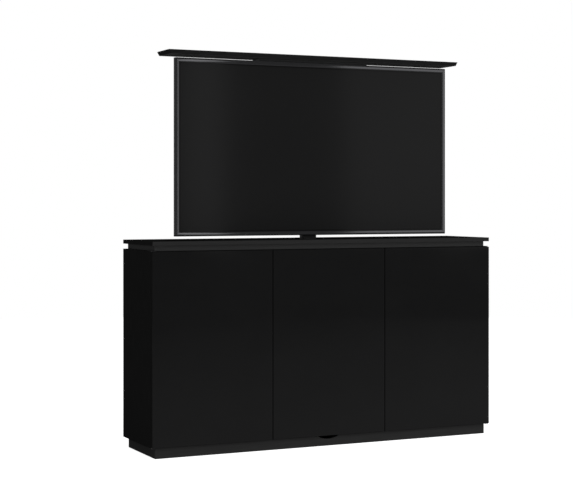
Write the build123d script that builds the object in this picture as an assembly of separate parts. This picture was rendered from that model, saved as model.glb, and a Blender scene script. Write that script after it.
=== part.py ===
from build123d import *
import os

# A wide black cabinet with three gloss doors and a motor lift inside. The lift carries a flat
# screen and a lid board out of a slot in the top. The screen is shown raised. Millimetres,
# Z up, the front faces -Y, and the origin is on the floor under the cabinet's centre.

# Cabinet
cabinet_width = 1500.0
cabinet_depth = 340.0
cabinet_height = 824.0
board = 18.0
slab_thick = 16.0
recess_height = 20.0
recess_strip = 18.0
recess_side_inset = 15.0
recess_rear_inset = 15.0
plinth_height = 40.0
plinth_board = 16.0
plinth_side_inset = 16.0
plinth_front_inset = 15.0
plinth_rear_inset = 20.0
notch_width = 95.0
notch_depth = 13.0
upright_depth = 58.0
rail_clearance = 7.0
edge_radius = 1.0
back_thick = 8.0
back_reveal = 4.0

# Doors and their pivots
door_board = 18.0
door_gap = 2.0
seam = 3.0
door_floor_gap = 3.0
door_top_gap = 3.0
pivot_setback = 12.0
pivot_side = 4.5
flap_pivot_drop = 4.6
pin_radius = 2.0
pin_depth = 12.0
bush_wall = 1.2
running_clearance = 0.05
seat_gap = 0.3
pivot_plate_thick = 2.0
pivot_plate_width = 15.0
pivot_plate_length = 56.0
pivot_plate_nose = 5.0
pivot_plate_inset = 0.5
flap_plate_thick = 1.5
flap_plate_height = 45.0
flap_plate_tang = 20.0
flap_plate_relief = 1.0

# Door catches, bumpers and strikes
latch_radius = 5.0
latch_inset = 40.0
plunger_radius = 3.0
plunger_length = 30.0
latch_press = 1.5
latch_wall = 2.0
plunger_rear_gap = 4.0
magnet_radius = 6.0
magnet_length = 14.0
strike_radius = 4.5
strike_thick = 1.0
bumper_radius = 4.0
bumper_rise = 30.0
bumper_side = 5.0

# Lid board and the slot it closes
lid_width = 1302.0
lid_depth = 132.0
lid_setback = 89.0
lid_gap = 2.0
lid_bevel = 9.0
lid_bar_width = 486.0
lid_bar_depth = 70.0
lid_bar_height = 14.0
lid_bar_setback = 143.0
lid_bar_wall = 2.0

# Flat screen
screen_width = 1222.0
screen_height = 698.0
screen_setback = 125.0
screen_depth = 35.0
screen_floor_gap = 15.0
screen_lid_gap = 11.0
bezel = 16.0
bezel_lip = 2.0
bezel_chamfer = 1.5
frame_depth = 15.0
frame_wall = 2.5
glass_thick = 3.0
tray_wall = 2.0
cover_wall = 2.0
cover_inset = 50.0
cover_taper = 10.0
hole_pitch = 400.0
boss_radius = 8.0
boss_height = 2.0
boss_root = 2.0
cover_slot_count = 16
cover_slot_pitch = 30.0
cover_slot_length = 22.0
cover_slot_height = 4.0
cover_slot_drop = 60.0
circuit_reach = 176.0
circuit_width = 300.0
circuit_height = 220.0
supply_offset = 176.0
supply_width = 240.0
supply_height = 180.0
circuit_drop = 120.0
speaker_place = 440.0
speaker_width = 120.0
speaker_height = 40.0
speaker_gap = 1.0

# Telescopic column
column_setback = 200.0
middle_width = 63.0
middle_depth = 34.0
middle_wall = 2.5
slide_gap = 3.0
glide_clearance = 0.2
outer_wall = 3.0
inner_wall = 2.0
collar_lip = 4.0
collar_skirt = 20.0
stage_step = 2.0
foot_clearance = 8.0
nut_height = 20.0
spindle_radius = 6.0
spindle_overrun = 10.0
plug_height = 20.0
plug_screw_tip = 4.0

# Column base, gearbox and motor
base_plate_width = 180.0
base_plate_depth = 150.0
base_plate_thick = 6.0
base_plate_shift = 15.0
base_screw_inset = 15.0
gearbox_width = 96.0
gearbox_depth = 84.0
gearbox_height = 48.0
gearbox_front = 30.0
gearbox_corner = 6.0
bearing_radius = 11.0
bearing_height = 14.0
spindle_seat = 12.0
motor_radius = 22.0
motor_length = 104.0
motor_cap = 12.0
motor_step = 2.0
motor_cap_round = 3.0
motor_offset = 27.0
cable_radius = 2.5

# Head, hanger and mounting rails
head_width = 120.0
head_front = 38.0
hanger_thick = 4.0
flange_reach = 13.0
flange_screw_grip = 8.0
rail_length = 430.0
rail_height = 50.0
rail_thick = 3.0
rail_corner = 12.0
lid_screw_end = 40.0
lid_screw_edge = 15.0

# Control box, inlet and cable outlet
control_width = 160.0
control_reach = 13.0
control_height = 42.0
control_place = 300.0
control_wall = 2.0
board_thick = 1.6
board_border = 8.0
board_post = 5.0
board_post_radius = 2.5
board_post_inset = 6.0
relay_length = 40.0
relay_depth = 25.0
relay_height = 16.0
relay_inset = 12.0
inlet_width = 28.0
inlet_height = 20.0
inlet_flange = 5.0
inlet_depth = 12.0
inlet_wall = 4.0
outlet_radius = 30.0
outlet_wall = 4.0
outlet_flange = 6.0
outlet_place = 300.0
outlet_height = 140.0
flange_thick = 2.0
vent_length = 80.0
vent_height = 6.0
vent_pitch = 120.0
vent_count = 4
vent_drop = 60.0

# Fasteners
screw_radius = 2.5
screw_head_radius = 5.0
screw_head = 3.0
screw_grip = 10.0
slab_screw_pitch = 500.0
back_screw_pitch = 300.0
dowel_radius = 4.0
dowel_length = 28.0
dowel_in_side = 12.0
dowel_edge = 25.0

# Planes worked out from the sizes above
half_width = cabinet_width / 2
front = -cabinet_depth / 2
rear = cabinet_depth / 2
door_back = front + door_board
carcass_front = door_back + door_gap
back_outer = rear - back_reveal
back_inner = back_outer - back_thick
side_inner = half_width - board
floor_top = plinth_height + board
slab_bottom = cabinet_height - slab_thick
carcass_top = slab_bottom - recess_height
rail_bottom = carcass_top - board

lid_front = front + lid_setback
lid_back = lid_front + lid_depth
slot_front = lid_front - lid_gap
slot_back = lid_back + lid_gap
front_rail_back = slot_front - rail_clearance
rear_rail_front = slot_back + rail_clearance

screen_front = front + screen_setback
frame_back = screen_front + frame_depth
screen_back = screen_front + screen_depth
screen_bottom = cabinet_height + screen_floor_gap
screen_top = screen_bottom + screen_height
screen_middle = (screen_bottom + screen_top) / 2
lid_bottom = screen_top + screen_lid_gap
lid_top = lid_bottom + slab_thick
travel = lid_top - cabinet_height
head_bottom = lid_bottom - lid_bar_height

column_y = front + column_setback
outer_width = middle_width + 2 * (slide_gap + outer_wall)
outer_depth = middle_depth + 2 * (slide_gap + outer_wall)
inner_width = middle_width - 2 * (slide_gap + middle_wall)
inner_depth = middle_depth - 2 * (slide_gap + middle_wall)
gearbox_bottom = floor_top + base_plate_thick
outer_bottom = gearbox_bottom + gearbox_height
inner_top = head_bottom
middle_top = inner_top - travel - stage_step - collar_lip + travel / 2
outer_top = middle_top - travel / 2 - stage_step - collar_lip
middle_bottom = outer_bottom + foot_clearance + travel / 2
inner_bottom = outer_bottom + foot_clearance + nut_height + collar_lip + travel

base_front = column_y - base_plate_depth / 2 + base_plate_shift
base_back = base_front + base_plate_depth
bar_front = front + lid_bar_setback
bar_back = bar_front + lid_bar_depth
rail_front = screen_back + boss_height
hanger_front = rail_front + rail_thick
hanger_back = hanger_front + hanger_thick
rail_levels = (screen_middle - hole_pitch / 2, screen_middle + hole_pitch / 2)
hanger_bottom = rail_levels[0] - rail_height / 2

door_bottom = plinth_height + door_floor_gap
door_top = carcass_top - door_top_gap
door_third = cabinet_width / 3
seam_x = half_width - door_third
pivot_y = front + pivot_setback
pivot_x = half_width - pivot_side
flap_pivot_z = door_top - flap_pivot_drop
bush_radius = pin_radius + running_clearance + bush_wall


def block(x0, x1, y0, y1, z0, z1):
    """A box between two corners."""
    middle = Pos((x0 + x1) / 2, (y0 + y1) / 2, (z0 + z1) / 2)
    return middle * Box(x1 - x0, y1 - y0, z1 - z0)


def upright_rod(x, y, z0, z1, radius):
    """A round bar along Z."""
    return Pos(x, y, (z0 + z1) / 2) * Cylinder(radius, z1 - z0)


def deep_rod(x, z, y0, y1, radius):
    """A round bar along Y."""
    return Pos(x, (y0 + y1) / 2, z) * Rot(90, 0, 0) * Cylinder(radius, y1 - y0)


def cross_rod(y, z, x0, x1, radius):
    """A round bar along X."""
    return Pos((x0 + x1) / 2, y, z) * Rot(0, 90, 0) * Cylinder(radius, abs(x1 - x0))


def frustum(x, y, z0, z1, low, high):
    """A tapered block with a rectangle of size low at z0 and one of size high at z1."""
    section_low = Pos(x, y, z0) * Rectangle(*low)
    section_high = Pos(x, y, z1) * Rectangle(*high)
    return loft([section_low, section_high])


def tube(width, depth, wall, z0, z1):
    """A rectangular tube round the column's axis."""
    outside = Pos(0, column_y, (z0 + z1) / 2) * Box(width, depth, z1 - z0)
    inside = Pos(0, column_y, (z0 + z1) / 2) * Box(width - 2 * wall, depth - 2 * wall, z1 - z0)
    return outside - inside


def softened(shape, radius=edge_radius):
    """All long edges of a board rounded by the same small radius."""
    return fillet(shape.edges(), radius)


def write(name, *solids):
    """One STEP file for one named sub-part."""
    shape = solids[0] if len(solids) == 1 else Compound(children=list(solids))
    export_step(shape, f"parts/{name}.step")


def without(shape, cutters):
    """The shape with every cutter taken out of it."""
    for cutter in cutters:
        shape = shape - cutter
    return shape


# Fastener places
dowel_rows = [carcass_front + dowel_edge, rear_rail_front + dowel_edge, back_inner - dowel_edge]
slab_screw_x = [-slab_screw_pitch, 0, slab_screw_pitch]
slab_screw_y = [carcass_front + recess_strip / 2, rear - recess_rear_inset - recess_strip / 2]
back_screw_x = [step * back_screw_pitch for step in (-2, -1, 0, 1, 2)]
back_screw_z = [plinth_height + board / 2, carcass_top - board / 2]


def dowels(grow=0.0):
    """The wooden dowels that join the side panels to the floor and the rails."""
    rods = []
    for side in (-1, 1):
        for z in back_screw_z:
            for y in dowel_rows:
                if z == back_screw_z[1] and slot_front < y < slot_back:
                    continue
                outer_end = side * (side_inner + dowel_in_side)
                inner_end = side * (side_inner + dowel_in_side - dowel_length)
                rods.append(cross_rod(y, z, inner_end, outer_end, dowel_radius + grow))
    return rods


def slab_screws(grow=0.0):
    """The screws that hold the slab down through the rails and the recess strips."""
    screws = []
    for x in slab_screw_x:
        for y in slab_screw_y:
            shank = upright_rod(x, y, rail_bottom, slab_bottom + screw_grip, screw_radius + grow)
            head = upright_rod(x, y, rail_bottom - screw_head, rail_bottom, screw_head_radius)
            screws.append(shank + head)
    return screws


def back_screws(grow=0.0):
    """The screws that hold the back panel to the floor and the rear rail."""
    screws = []
    for x in back_screw_x:
        for z in back_screw_z:
            shank = deep_rod(x, z, back_inner - screw_grip, back_outer, screw_radius + grow)
            head = deep_rod(x, z, back_outer, back_outer + screw_head, screw_head_radius)
            screws.append(shank + head)
    return screws


def base_screws(grow=0.0):
    """The screws that hold the column's base plate to the cabinet floor."""
    screws = []
    reach = base_plate_width / 2 - base_screw_inset
    for x in (-reach, reach):
        for y in (base_front + base_screw_inset, base_back - base_screw_inset):
            shank = upright_rod(x, y, gearbox_bottom - base_plate_thick - screw_grip,
                                gearbox_bottom, screw_radius + grow)
            head = upright_rod(x, y, gearbox_bottom, gearbox_bottom + screw_head, screw_head_radius)
            screws.append(shank + head)
    return screws


# Door pivots
def door_pins():
    """The upright pivot pins of both side doors, top and bottom."""
    pins = []
    for side in (-1, 1):
        low = plinth_height + pivot_plate_thick
        high = carcass_top - pivot_plate_thick
        x = side * pivot_x
        pins.append(upright_rod(x, pivot_y, low, low + pin_depth, pin_radius))
        pins.append(upright_rod(x, pivot_y, high - pin_depth, high, pin_radius))
    return pins


def door_plates():
    """The steel plates let into the side panels' top and bottom edges, which carry the pins."""
    plates = []
    for side in (-1, 1):
        outer_edge = half_width - pivot_plate_inset
        x0, x1 = sorted((side * outer_edge, side * (outer_edge - pivot_plate_width)))
        y0 = pivot_y - pivot_plate_nose
        y1 = y0 + pivot_plate_length
        plates.append(block(x0, x1, y0, y1, plinth_height, plinth_height + pivot_plate_thick))
        plates.append(block(x0, x1, y0, y1, carcass_top - pivot_plate_thick, carcass_top))
    return plates


def flap_plates():
    """The upright plates in the seams beside the middle door, which carry its pins."""
    plates = []
    for side in (-1, 1):
        x0 = side * seam_x - flap_plate_thick / 2
        x1 = x0 + flap_plate_thick
        nose = block(x0, x1, pivot_y - pivot_plate_nose, carcass_front,
                     door_top - flap_plate_height, door_top)
        tang = block(x0, x1, carcass_front, carcass_front + flap_plate_tang,
                     door_top - flap_plate_height, rail_bottom - flap_plate_relief)
        plates.append(nose + tang)
    return plates


def flap_pins():
    """The pivot pins that reach sideways into the middle door."""
    pins = []
    for side in (-1, 1):
        start = side * (seam_x - flap_plate_thick / 2)
        pins.append(cross_rod(pivot_y, flap_pivot_z, *sorted((start, start - side * pin_depth)), pin_radius))
    return pins


# Cabinet boards
def side_panel(side):
    x0, x1 = sorted((side * side_inner, side * half_width))
    panel = softened(block(x0, x1, carcass_front, rear, plinth_height, carcass_top))
    return without(panel, dowels(running_clearance) + door_plates())


def bottom_panel():
    panel = block(-side_inner, side_inner, carcass_front, back_inner, plinth_height, floor_top)
    magnet_hole = deep_rod(0, magnet_z, carcass_front, carcass_front + magnet_length, magnet_radius)
    return without(panel, dowels(running_clearance) + back_screws(running_clearance)
                   + base_screws(running_clearance) + [magnet_hole])


def front_rail():
    rail = block(-side_inner, side_inner, carcass_front, front_rail_back, rail_bottom, carcass_top)
    return without(rail, dowels(running_clearance) + slab_screws(running_clearance) + latch_holes())


def rear_rail():
    rail = block(-side_inner, side_inner, rear_rail_front, back_inner, rail_bottom, carcass_top)
    return without(rail, dowels(running_clearance) + slab_screws(running_clearance)
                   + back_screws(running_clearance))


def upright(side):
    x0, x1 = side * seam_x - board / 2, side * seam_x + board / 2
    panel = block(x0, x1, carcass_front, carcass_front + upright_depth, floor_top, rail_bottom)
    return without(panel, flap_plates())


def back_panel():
    panel = block(-side_inner, side_inner, back_inner, back_outer, plinth_height, carcass_top)
    cutters = back_screws(running_clearance)
    cutters.append(deep_rod(-outlet_place, outlet_height, back_inner, back_outer, outlet_radius))
    cutters.append(inlet_body(back_inner))
    for row_z in (rail_bottom - vent_drop, floor_top + vent_drop):
        for step in range(vent_count):
            x = (step - (vent_count - 1) / 2) * vent_pitch
            cutters.append(block(x - vent_length / 2, x + vent_length / 2, back_inner, back_outer,
                                 row_z - vent_height / 2, row_z + vent_height / 2))
    return without(panel, cutters)


plinth_half = half_width - plinth_side_inset
plinth_front = front + plinth_front_inset
plinth_rear = rear - plinth_rear_inset


def plinth_front_board():
    """The front plinth board with the finger notch in its top edge, an arc of a circle."""
    plinth = block(-plinth_half, plinth_half, plinth_front, plinth_front + plinth_board, 0, plinth_height)
    notch_radius = ((notch_width / 2) ** 2 + notch_depth ** 2) / (2 * notch_depth)
    notch_centre = plinth_height - notch_depth + notch_radius
    return plinth - deep_rod(0, notch_centre, plinth_front, plinth_front + plinth_board, notch_radius)


def plinth_side_board(side):
    x0, x1 = sorted((side * plinth_half, side * (plinth_half - plinth_board)))
    return block(x0, x1, plinth_front + plinth_board, plinth_rear - plinth_board, 0, plinth_height)


def plinth_rear_board():
    return block(-plinth_half, plinth_half, plinth_rear - plinth_board, plinth_rear, 0, plinth_height)


recess_half = half_width - recess_side_inset
recess_rear = rear - recess_rear_inset


def recess_front_strip():
    strip = block(-recess_half, recess_half, carcass_front, carcass_front + recess_strip,
                  carcass_top, slab_bottom)
    return without(strip, slab_screws(running_clearance))


def recess_rear_strip():
    strip = block(-recess_half, recess_half, recess_rear - recess_strip, recess_rear,
                  carcass_top, slab_bottom)
    return without(strip, slab_screws(running_clearance))


def recess_side_strip(side):
    x0, x1 = sorted((side * recess_half, side * (recess_half - recess_strip)))
    return block(x0, x1, carcass_front + recess_strip, recess_rear - recess_strip,
                 carcass_top, slab_bottom)


def top_slab():
    """The top slab with the long slot, whose ends slope like the ends of the lid."""
    slab = softened(block(-half_width, half_width, front, rear, slab_bottom, cabinet_height))
    slot_width = lid_width + 2 * lid_gap
    slot = frustum(0, (slot_front + slot_back) / 2, slab_bottom, cabinet_height,
                   (slot_width - 2 * lid_bevel, slot_back - slot_front),
                   (slot_width, slot_back - slot_front))
    return without(slab - slot, slab_screws(running_clearance))


# Doors
def strike_disc(x, z):
    return deep_rod(x, z, door_back - strike_thick, door_back, strike_radius)


def door_panel(x0, x1, holes):
    panel = softened(block(x0, x1, front, door_back, door_bottom, door_top))
    return without(panel, holes)


def bushes_upright(side, bored=True):
    """The two plastic bushes of one side door, let into its top and bottom edges."""
    bushes = []
    for z0, z1 in ((door_bottom, door_bottom + pin_depth), (door_top - pin_depth, door_top)):
        bush = upright_rod(side * pivot_x, pivot_y, z0, z1, bush_radius)
        bore = upright_rod(side * pivot_x, pivot_y, z0, z1, pin_radius + running_clearance)
        bushes.append(bush - bore if bored else bush)
    return bushes


def bushes_flap(bored=True):
    """The two plastic bushes in the ends of the middle door."""
    edge = seam_x - seam / 2
    bushes = []
    for side in (-1, 1):
        span = sorted((side * edge, side * (edge - pin_depth)))
        bush = cross_rod(pivot_y, flap_pivot_z, *span, bush_radius)
        bore = cross_rod(pivot_y, flap_pivot_z, *span, pin_radius + running_clearance)
        bushes.append(bush - bore if bored else bush)
    return bushes


latch_x = seam_x + latch_inset
latch_length = plunger_length + plunger_rear_gap + latch_press + latch_wall
latch_z = carcass_top - board / 2
magnet_z = plinth_height + board / 2


def latch_holes():
    return [deep_rod(side * latch_x, latch_z, carcass_front, carcass_front + latch_length, latch_radius)
            for side in (-1, 1)]


def latch_housing(side):
    """A push latch's sleeve in the front rail, open at the front."""
    shell = deep_rod(side * latch_x, latch_z, carcass_front, carcass_front + latch_length, latch_radius)
    bore = deep_rod(side * latch_x, latch_z, carcass_front,
                    carcass_front + latch_length - latch_wall, plunger_radius + running_clearance)
    return shell - bore


def latch_plunger(side):
    """A push latch's plunger, its tip just off the door's strike."""
    tip = door_back + seat_gap
    return deep_rod(side * latch_x, latch_z, tip, tip + plunger_length, plunger_radius)


def side_strike(side):
    """The steel disc that a push latch meets, let into the door's back."""
    return strike_disc(side * latch_x, latch_z)


def flap_strike():
    return strike_disc(0, magnet_z)


def side_door(side):
    x0, x1 = sorted((side * (seam_x + seam / 2), side * half_width))
    return door_panel(x0, x1, bushes_upright(side, False) + [side_strike(side)])


def middle_door():
    edge = seam_x - seam / 2
    return door_panel(-edge, edge, bushes_flap(False) + [flap_strike()])


def door_bumpers():
    """Soft dots on the carcass front, which the closed doors come up to."""
    dots = []
    for side in (-1, 1):
        for x in (side * seam_x - bumper_side, side * seam_x + bumper_side):
            dots.append(deep_rod(x, floor_top + bumper_rise, door_back + seat_gap, carcass_front,
                                 bumper_radius))
    return dots


# Lift column
def outer_collar():
    """The plastic mouth of the outer tube: a lip on its end and a skirt inside it."""
    bore_width = middle_width + 2 * glide_clearance
    bore_depth = middle_depth + 2 * glide_clearance
    lip = Pos(0, column_y, outer_top + collar_lip / 2) * Box(outer_width, outer_depth, collar_lip)
    skirt = Pos(0, column_y, outer_top - collar_skirt / 2) * Box(
        outer_width - 2 * outer_wall, outer_depth - 2 * outer_wall, collar_skirt)
    bore = Pos(0, column_y, outer_top) * Box(bore_width, bore_depth, 2 * (collar_skirt + collar_lip))
    return lip + skirt - bore


def middle_collar():
    """The plastic mouth of the middle tube."""
    bore_width = inner_width + 2 * glide_clearance
    bore_depth = inner_depth + 2 * glide_clearance
    lip = Pos(0, column_y, middle_top + collar_lip / 2) * Box(middle_width, middle_depth, collar_lip)
    skirt = Pos(0, column_y, middle_top - collar_skirt / 2) * Box(
        middle_width - 2 * middle_wall, middle_depth - 2 * middle_wall, collar_skirt)
    bore = Pos(0, column_y, middle_top) * Box(bore_width, bore_depth, 2 * (collar_skirt + collar_lip))
    return lip + skirt - bore


def foot_glide(width, depth, bottom):
    """A plastic ring round a tube's foot, which slides in the next tube out."""
    reach = 2 * (slide_gap - glide_clearance)
    return tube(width + reach, depth + reach, reach / 2, bottom, bottom + collar_skirt)


def spindle_nut():
    """The plastic nut in the middle tube's foot."""
    nut = Pos(0, column_y, middle_bottom + nut_height / 2) * Box(
        middle_width - 2 * middle_wall, middle_depth - 2 * middle_wall, nut_height)
    return nut - upright_rod(0, column_y, middle_bottom, middle_bottom + nut_height,
                             spindle_radius + running_clearance)


spindle_bottom = gearbox_bottom + spindle_seat


def drive_spindle():
    top = middle_bottom + nut_height + spindle_overrun
    return upright_rod(0, column_y, spindle_bottom, top, spindle_radius)


motor_y = column_y + motor_offset
motor_z = gearbox_bottom + gearbox_height / 2
motor_end = gearbox_width / 2 + motor_length


def gearbox_housing():
    """The gear case under the column, with the seats of the spindle and its bearing."""
    y0 = column_y - gearbox_front
    case = block(-gearbox_width / 2, gearbox_width / 2, y0, y0 + gearbox_depth, gearbox_bottom, outer_bottom)
    case = fillet(case.edges().filter_by(Axis.Z), gearbox_corner)
    bearing_seat = upright_rod(0, column_y, outer_bottom - bearing_height, outer_bottom, bearing_radius)
    spindle_hole = upright_rod(0, column_y, spindle_bottom, outer_bottom, spindle_radius + running_clearance)
    return case - bearing_seat - spindle_hole


def spindle_bearing():
    ring = upright_rod(0, column_y, outer_bottom - bearing_height, outer_bottom, bearing_radius)
    return ring - upright_rod(0, column_y, outer_bottom - bearing_height, outer_bottom,
                              spindle_radius + running_clearance)


def base_plate():
    plate = block(-base_plate_width / 2, base_plate_width / 2, base_front, base_back,
                  floor_top, gearbox_bottom)
    return without(plate, base_screws(running_clearance))


def motor_housing():
    body = cross_rod(motor_y, motor_z, gearbox_width / 2, motor_end, motor_radius)
    return chamfer(body.edges().filter_by(GeomType.CIRCLE).sort_by(Axis.X)[-1], motor_step)


def motor_end_cap():
    cap = cross_rod(motor_y, motor_z, motor_end, motor_end + motor_cap, motor_radius - motor_step)
    return fillet(cap.edges().filter_by(GeomType.CIRCLE).sort_by(Axis.X)[-1], motor_cap_round)


def motor_cable():
    """The short lead from the motor's cap straight into the control box."""
    return cross_rod(motor_y, motor_z, motor_end + motor_cap, control_left, cable_radius)


# Control box
control_left = control_place - control_width / 2
control_right = control_place + control_width / 2
control_front = motor_y - control_reach
control_top = floor_top + control_height
inlet_z = floor_top + control_height / 2


def inlet_body(y0):
    return block(control_place - inlet_width / 2, control_place + inlet_width / 2, y0, back_outer,
                 inlet_z - inlet_height / 2, inlet_z + inlet_height / 2)


def control_box_base():
    return block(control_left, control_right, control_front, back_inner, floor_top, floor_top + control_wall)


def control_box_cover():
    shell = block(control_left, control_right, control_front, back_inner,
                  floor_top + control_wall, control_top)
    hollow = block(control_left + control_wall, control_right - control_wall, control_front + control_wall,
                   back_inner - control_wall, floor_top + control_wall, control_top - control_wall)
    return shell - hollow - inlet_body(back_inner - inlet_depth)


def control_board():
    """The controller's circuit board on its four posts."""
    z0 = floor_top + control_wall + board_post
    x0, x1 = control_left + board_border, control_right - board_border
    y0, y1 = control_front + board_border, back_inner - inlet_depth - inlet_wall
    plate = block(x0, x1, y0, y1, z0, z0 + board_thick)
    for x in (x0 + board_post_inset, x1 - board_post_inset):
        for y in (y0 + board_post_inset, y1 - board_post_inset):
            plate = plate + upright_rod(x, y, floor_top + control_wall, z0, board_post_radius)
    relay_x, relay_y = x0 + relay_inset, y0 + relay_inset
    relay = block(relay_x, relay_x + relay_length, relay_y, relay_y + relay_depth,
                  z0 + board_thick, z0 + board_thick + relay_height)
    return plate + relay


def power_inlet():
    """The two-pole mains inlet: a body through the back panel and a flange on its outside."""
    body = inlet_body(back_inner - inlet_depth)
    half, tall = inlet_width / 2, inlet_height / 2
    flange = block(control_place - half - inlet_flange, control_place + half + inlet_flange,
                   back_outer, back_outer + flange_thick,
                   inlet_z - tall - inlet_flange, inlet_z + tall + inlet_flange)
    flange = fillet(flange.edges().filter_by(Axis.Y), inlet_flange)
    socket = block(control_place - half + inlet_wall, control_place + half - inlet_wall,
                   back_inner - inlet_depth + inlet_wall, back_outer + flange_thick,
                   inlet_z - tall + inlet_wall, inlet_z + tall - inlet_wall)
    return body + flange - socket


def cable_grommet():
    sleeve = deep_rod(-outlet_place, outlet_height, back_inner, back_outer, outlet_radius)
    flange = deep_rod(-outlet_place, outlet_height, back_outer, back_outer + flange_thick,
                      outlet_radius + outlet_flange)
    bore = deep_rod(-outlet_place, outlet_height, back_inner, back_outer + flange_thick,
                    outlet_radius - outlet_wall)
    return sleeve + flange - bore


# Head and screen mount
def lid_bar():
    """The wide steel channel under the lid, open downwards."""
    bar = block(-lid_bar_width / 2, lid_bar_width / 2, bar_front, bar_back, head_bottom, lid_bottom)
    hollow = block(-lid_bar_width / 2 + lid_bar_wall, lid_bar_width / 2 - lid_bar_wall,
                   bar_front + lid_bar_wall, bar_back - lid_bar_wall,
                   head_bottom, lid_bottom - lid_bar_wall)
    return without(bar - hollow, lid_screws(running_clearance))


def head_block():
    block_top = lid_bottom - lid_bar_wall
    head = block(-head_width / 2, head_width / 2, column_y - head_front,
                 bar_back - lid_bar_wall, head_bottom, block_top)
    return without(head, head_screws(running_clearance) + hanger_screws(running_clearance))


def head_screws(grow=0.0):
    """The screws from the head block down into the plug in the inner tube."""
    screws = []
    block_top = lid_bottom - lid_bar_wall
    for x in (-inner_width / 4, inner_width / 4):
        tip = head_bottom - plug_height + plug_screw_tip
        screws.append(upright_rod(x, column_y, tip, block_top, screw_radius + grow))
    return screws


def inner_plug():
    plug = Pos(0, column_y, head_bottom - plug_height / 2) * Box(
        inner_width - 2 * inner_wall, inner_depth - 2 * inner_wall, plug_height)
    return without(plug, head_screws(running_clearance))


def hanger_screws(grow=0.0):
    """The screws from the hanger's flange up into the head block."""
    screws = []
    y = hanger_back + flange_reach / 2
    for x in (-head_width / 3, head_width / 3):
        shank = upright_rod(x, y, head_bottom - hanger_thick, head_bottom + flange_screw_grip,
                            screw_radius + grow)
        head = upright_rod(x, y, head_bottom - hanger_thick - screw_head, head_bottom - hanger_thick,
                           screw_head_radius)
        screws.append(shank + head)
    return screws


def rail_screws(grow=0.0):
    """The screws that join the mounting rails to the hanger."""
    screws = []
    for x in (-head_width / 3, head_width / 3):
        for z in rail_levels:
            shank = deep_rod(x, z, rail_front, hanger_back, screw_radius + grow)
            head = deep_rod(x, z, hanger_back, hanger_back + screw_head, screw_head_radius)
            screws.append(shank + head)
    return screws


def boss_screws(grow=0.0):
    """The four screws from the mounting rails into the bosses on the screen's back."""
    screws = []
    for x in (-hole_pitch / 2, hole_pitch / 2):
        for z in rail_levels:
            shank = deep_rod(x, z, screen_back - screw_grip, hanger_front, screw_radius + grow)
            head = deep_rod(x, z, hanger_front, hanger_front + screw_head, screw_head_radius)
            screws.append(shank + head)
    return screws


def screen_hanger():
    """The steel angle that hangs from the head in front of the column and carries the rails."""
    web = block(-head_width / 2, head_width / 2, hanger_front, hanger_back, hanger_bottom, head_bottom)
    flange = block(-head_width / 2, head_width / 2, hanger_back, hanger_back + flange_reach,
                   head_bottom - hanger_thick, head_bottom)
    return without(web + flange, hanger_screws(running_clearance) + rail_screws(running_clearance))


def mounting_rail(level):
    """One flat rail across the hanger, bored for its own screws and the screen's."""
    rail = block(-rail_length / 2, rail_length / 2, rail_front, hanger_front,
                 level - rail_height / 2, level + rail_height / 2)
    rail = fillet(rail.edges().filter_by(Axis.Y), rail_corner)
    return without(rail, rail_screws(running_clearance) + boss_screws(running_clearance))


def lid_screws(grow=0.0):
    """The screws through the channel up into the lid board."""
    screws = []
    web_bottom = lid_bottom - lid_bar_wall
    reach = lid_bar_width / 2 - lid_screw_end
    for x in (-reach, reach):
        for y in (bar_front + lid_screw_edge, bar_back - lid_screw_edge):
            shank = upright_rod(x, y, web_bottom, lid_bottom + screw_grip, screw_radius + grow)
            head = upright_rod(x, y, web_bottom - screw_head, web_bottom, screw_head_radius)
            screws.append(shank + head)
    return screws


def lid_board():
    """The lid, a strip of the same board as the slab, with its ends sloped inwards going down."""
    lid = softened(frustum(0, (lid_front + lid_back) / 2, lid_bottom, lid_top,
                           (lid_width - 2 * lid_bevel, lid_depth), (lid_width, lid_depth)))
    return without(lid, lid_screws(running_clearance))


# Flat screen
screen_half = screen_width / 2


def screen_frame():
    """The slim metal frame: a thin lip in front and a rim that goes back round the glass."""
    outside = block(-screen_half, screen_half, screen_front, frame_back, screen_bottom, screen_top)
    outside = chamfer(outside.faces().sort_by(Axis.Y)[0].edges(), bezel_chamfer)
    view = block(-screen_half + bezel, screen_half - bezel, screen_front, frame_back,
                 screen_bottom + bezel, screen_top - bezel)
    inside = block(-screen_half + frame_wall, screen_half - frame_wall, screen_front + bezel_lip,
                   frame_back, screen_bottom + frame_wall, screen_top - frame_wall)
    return outside - view - inside


def screen_glass():
    y0 = screen_front + bezel_lip
    return block(-screen_half + frame_wall, screen_half - frame_wall, y0, y0 + glass_thick,
                 screen_bottom + frame_wall, screen_top - frame_wall)


def backlight_tray():
    """The pressed tray behind the glass, open towards it."""
    y0 = screen_front + bezel_lip + glass_thick
    inset = frame_wall
    tray = block(-screen_half + inset, screen_half - inset, y0, frame_back,
                 screen_bottom + inset, screen_top - inset)
    inset = inset + tray_wall
    hollow = block(-screen_half + inset, screen_half - inset, y0, frame_back - tray_wall,
                   screen_bottom + inset, screen_top - inset)
    return tray - hollow


def cover_shell(inset, front_y, back_y):
    """The raised middle of the rear cover, drawn in on all sides towards the back."""
    low = (screen_width - 2 * inset, screen_height - 2 * inset)
    high = (low[0] - 2 * cover_taper, low[1] - 2 * cover_taper)
    front_section = Pos(0, front_y, screen_middle) * Rot(90, 0, 0) * Rectangle(*low)
    back_section = Pos(0, back_y, screen_middle) * Rot(90, 0, 0) * Rectangle(*high)
    return loft([front_section, back_section])


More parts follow.
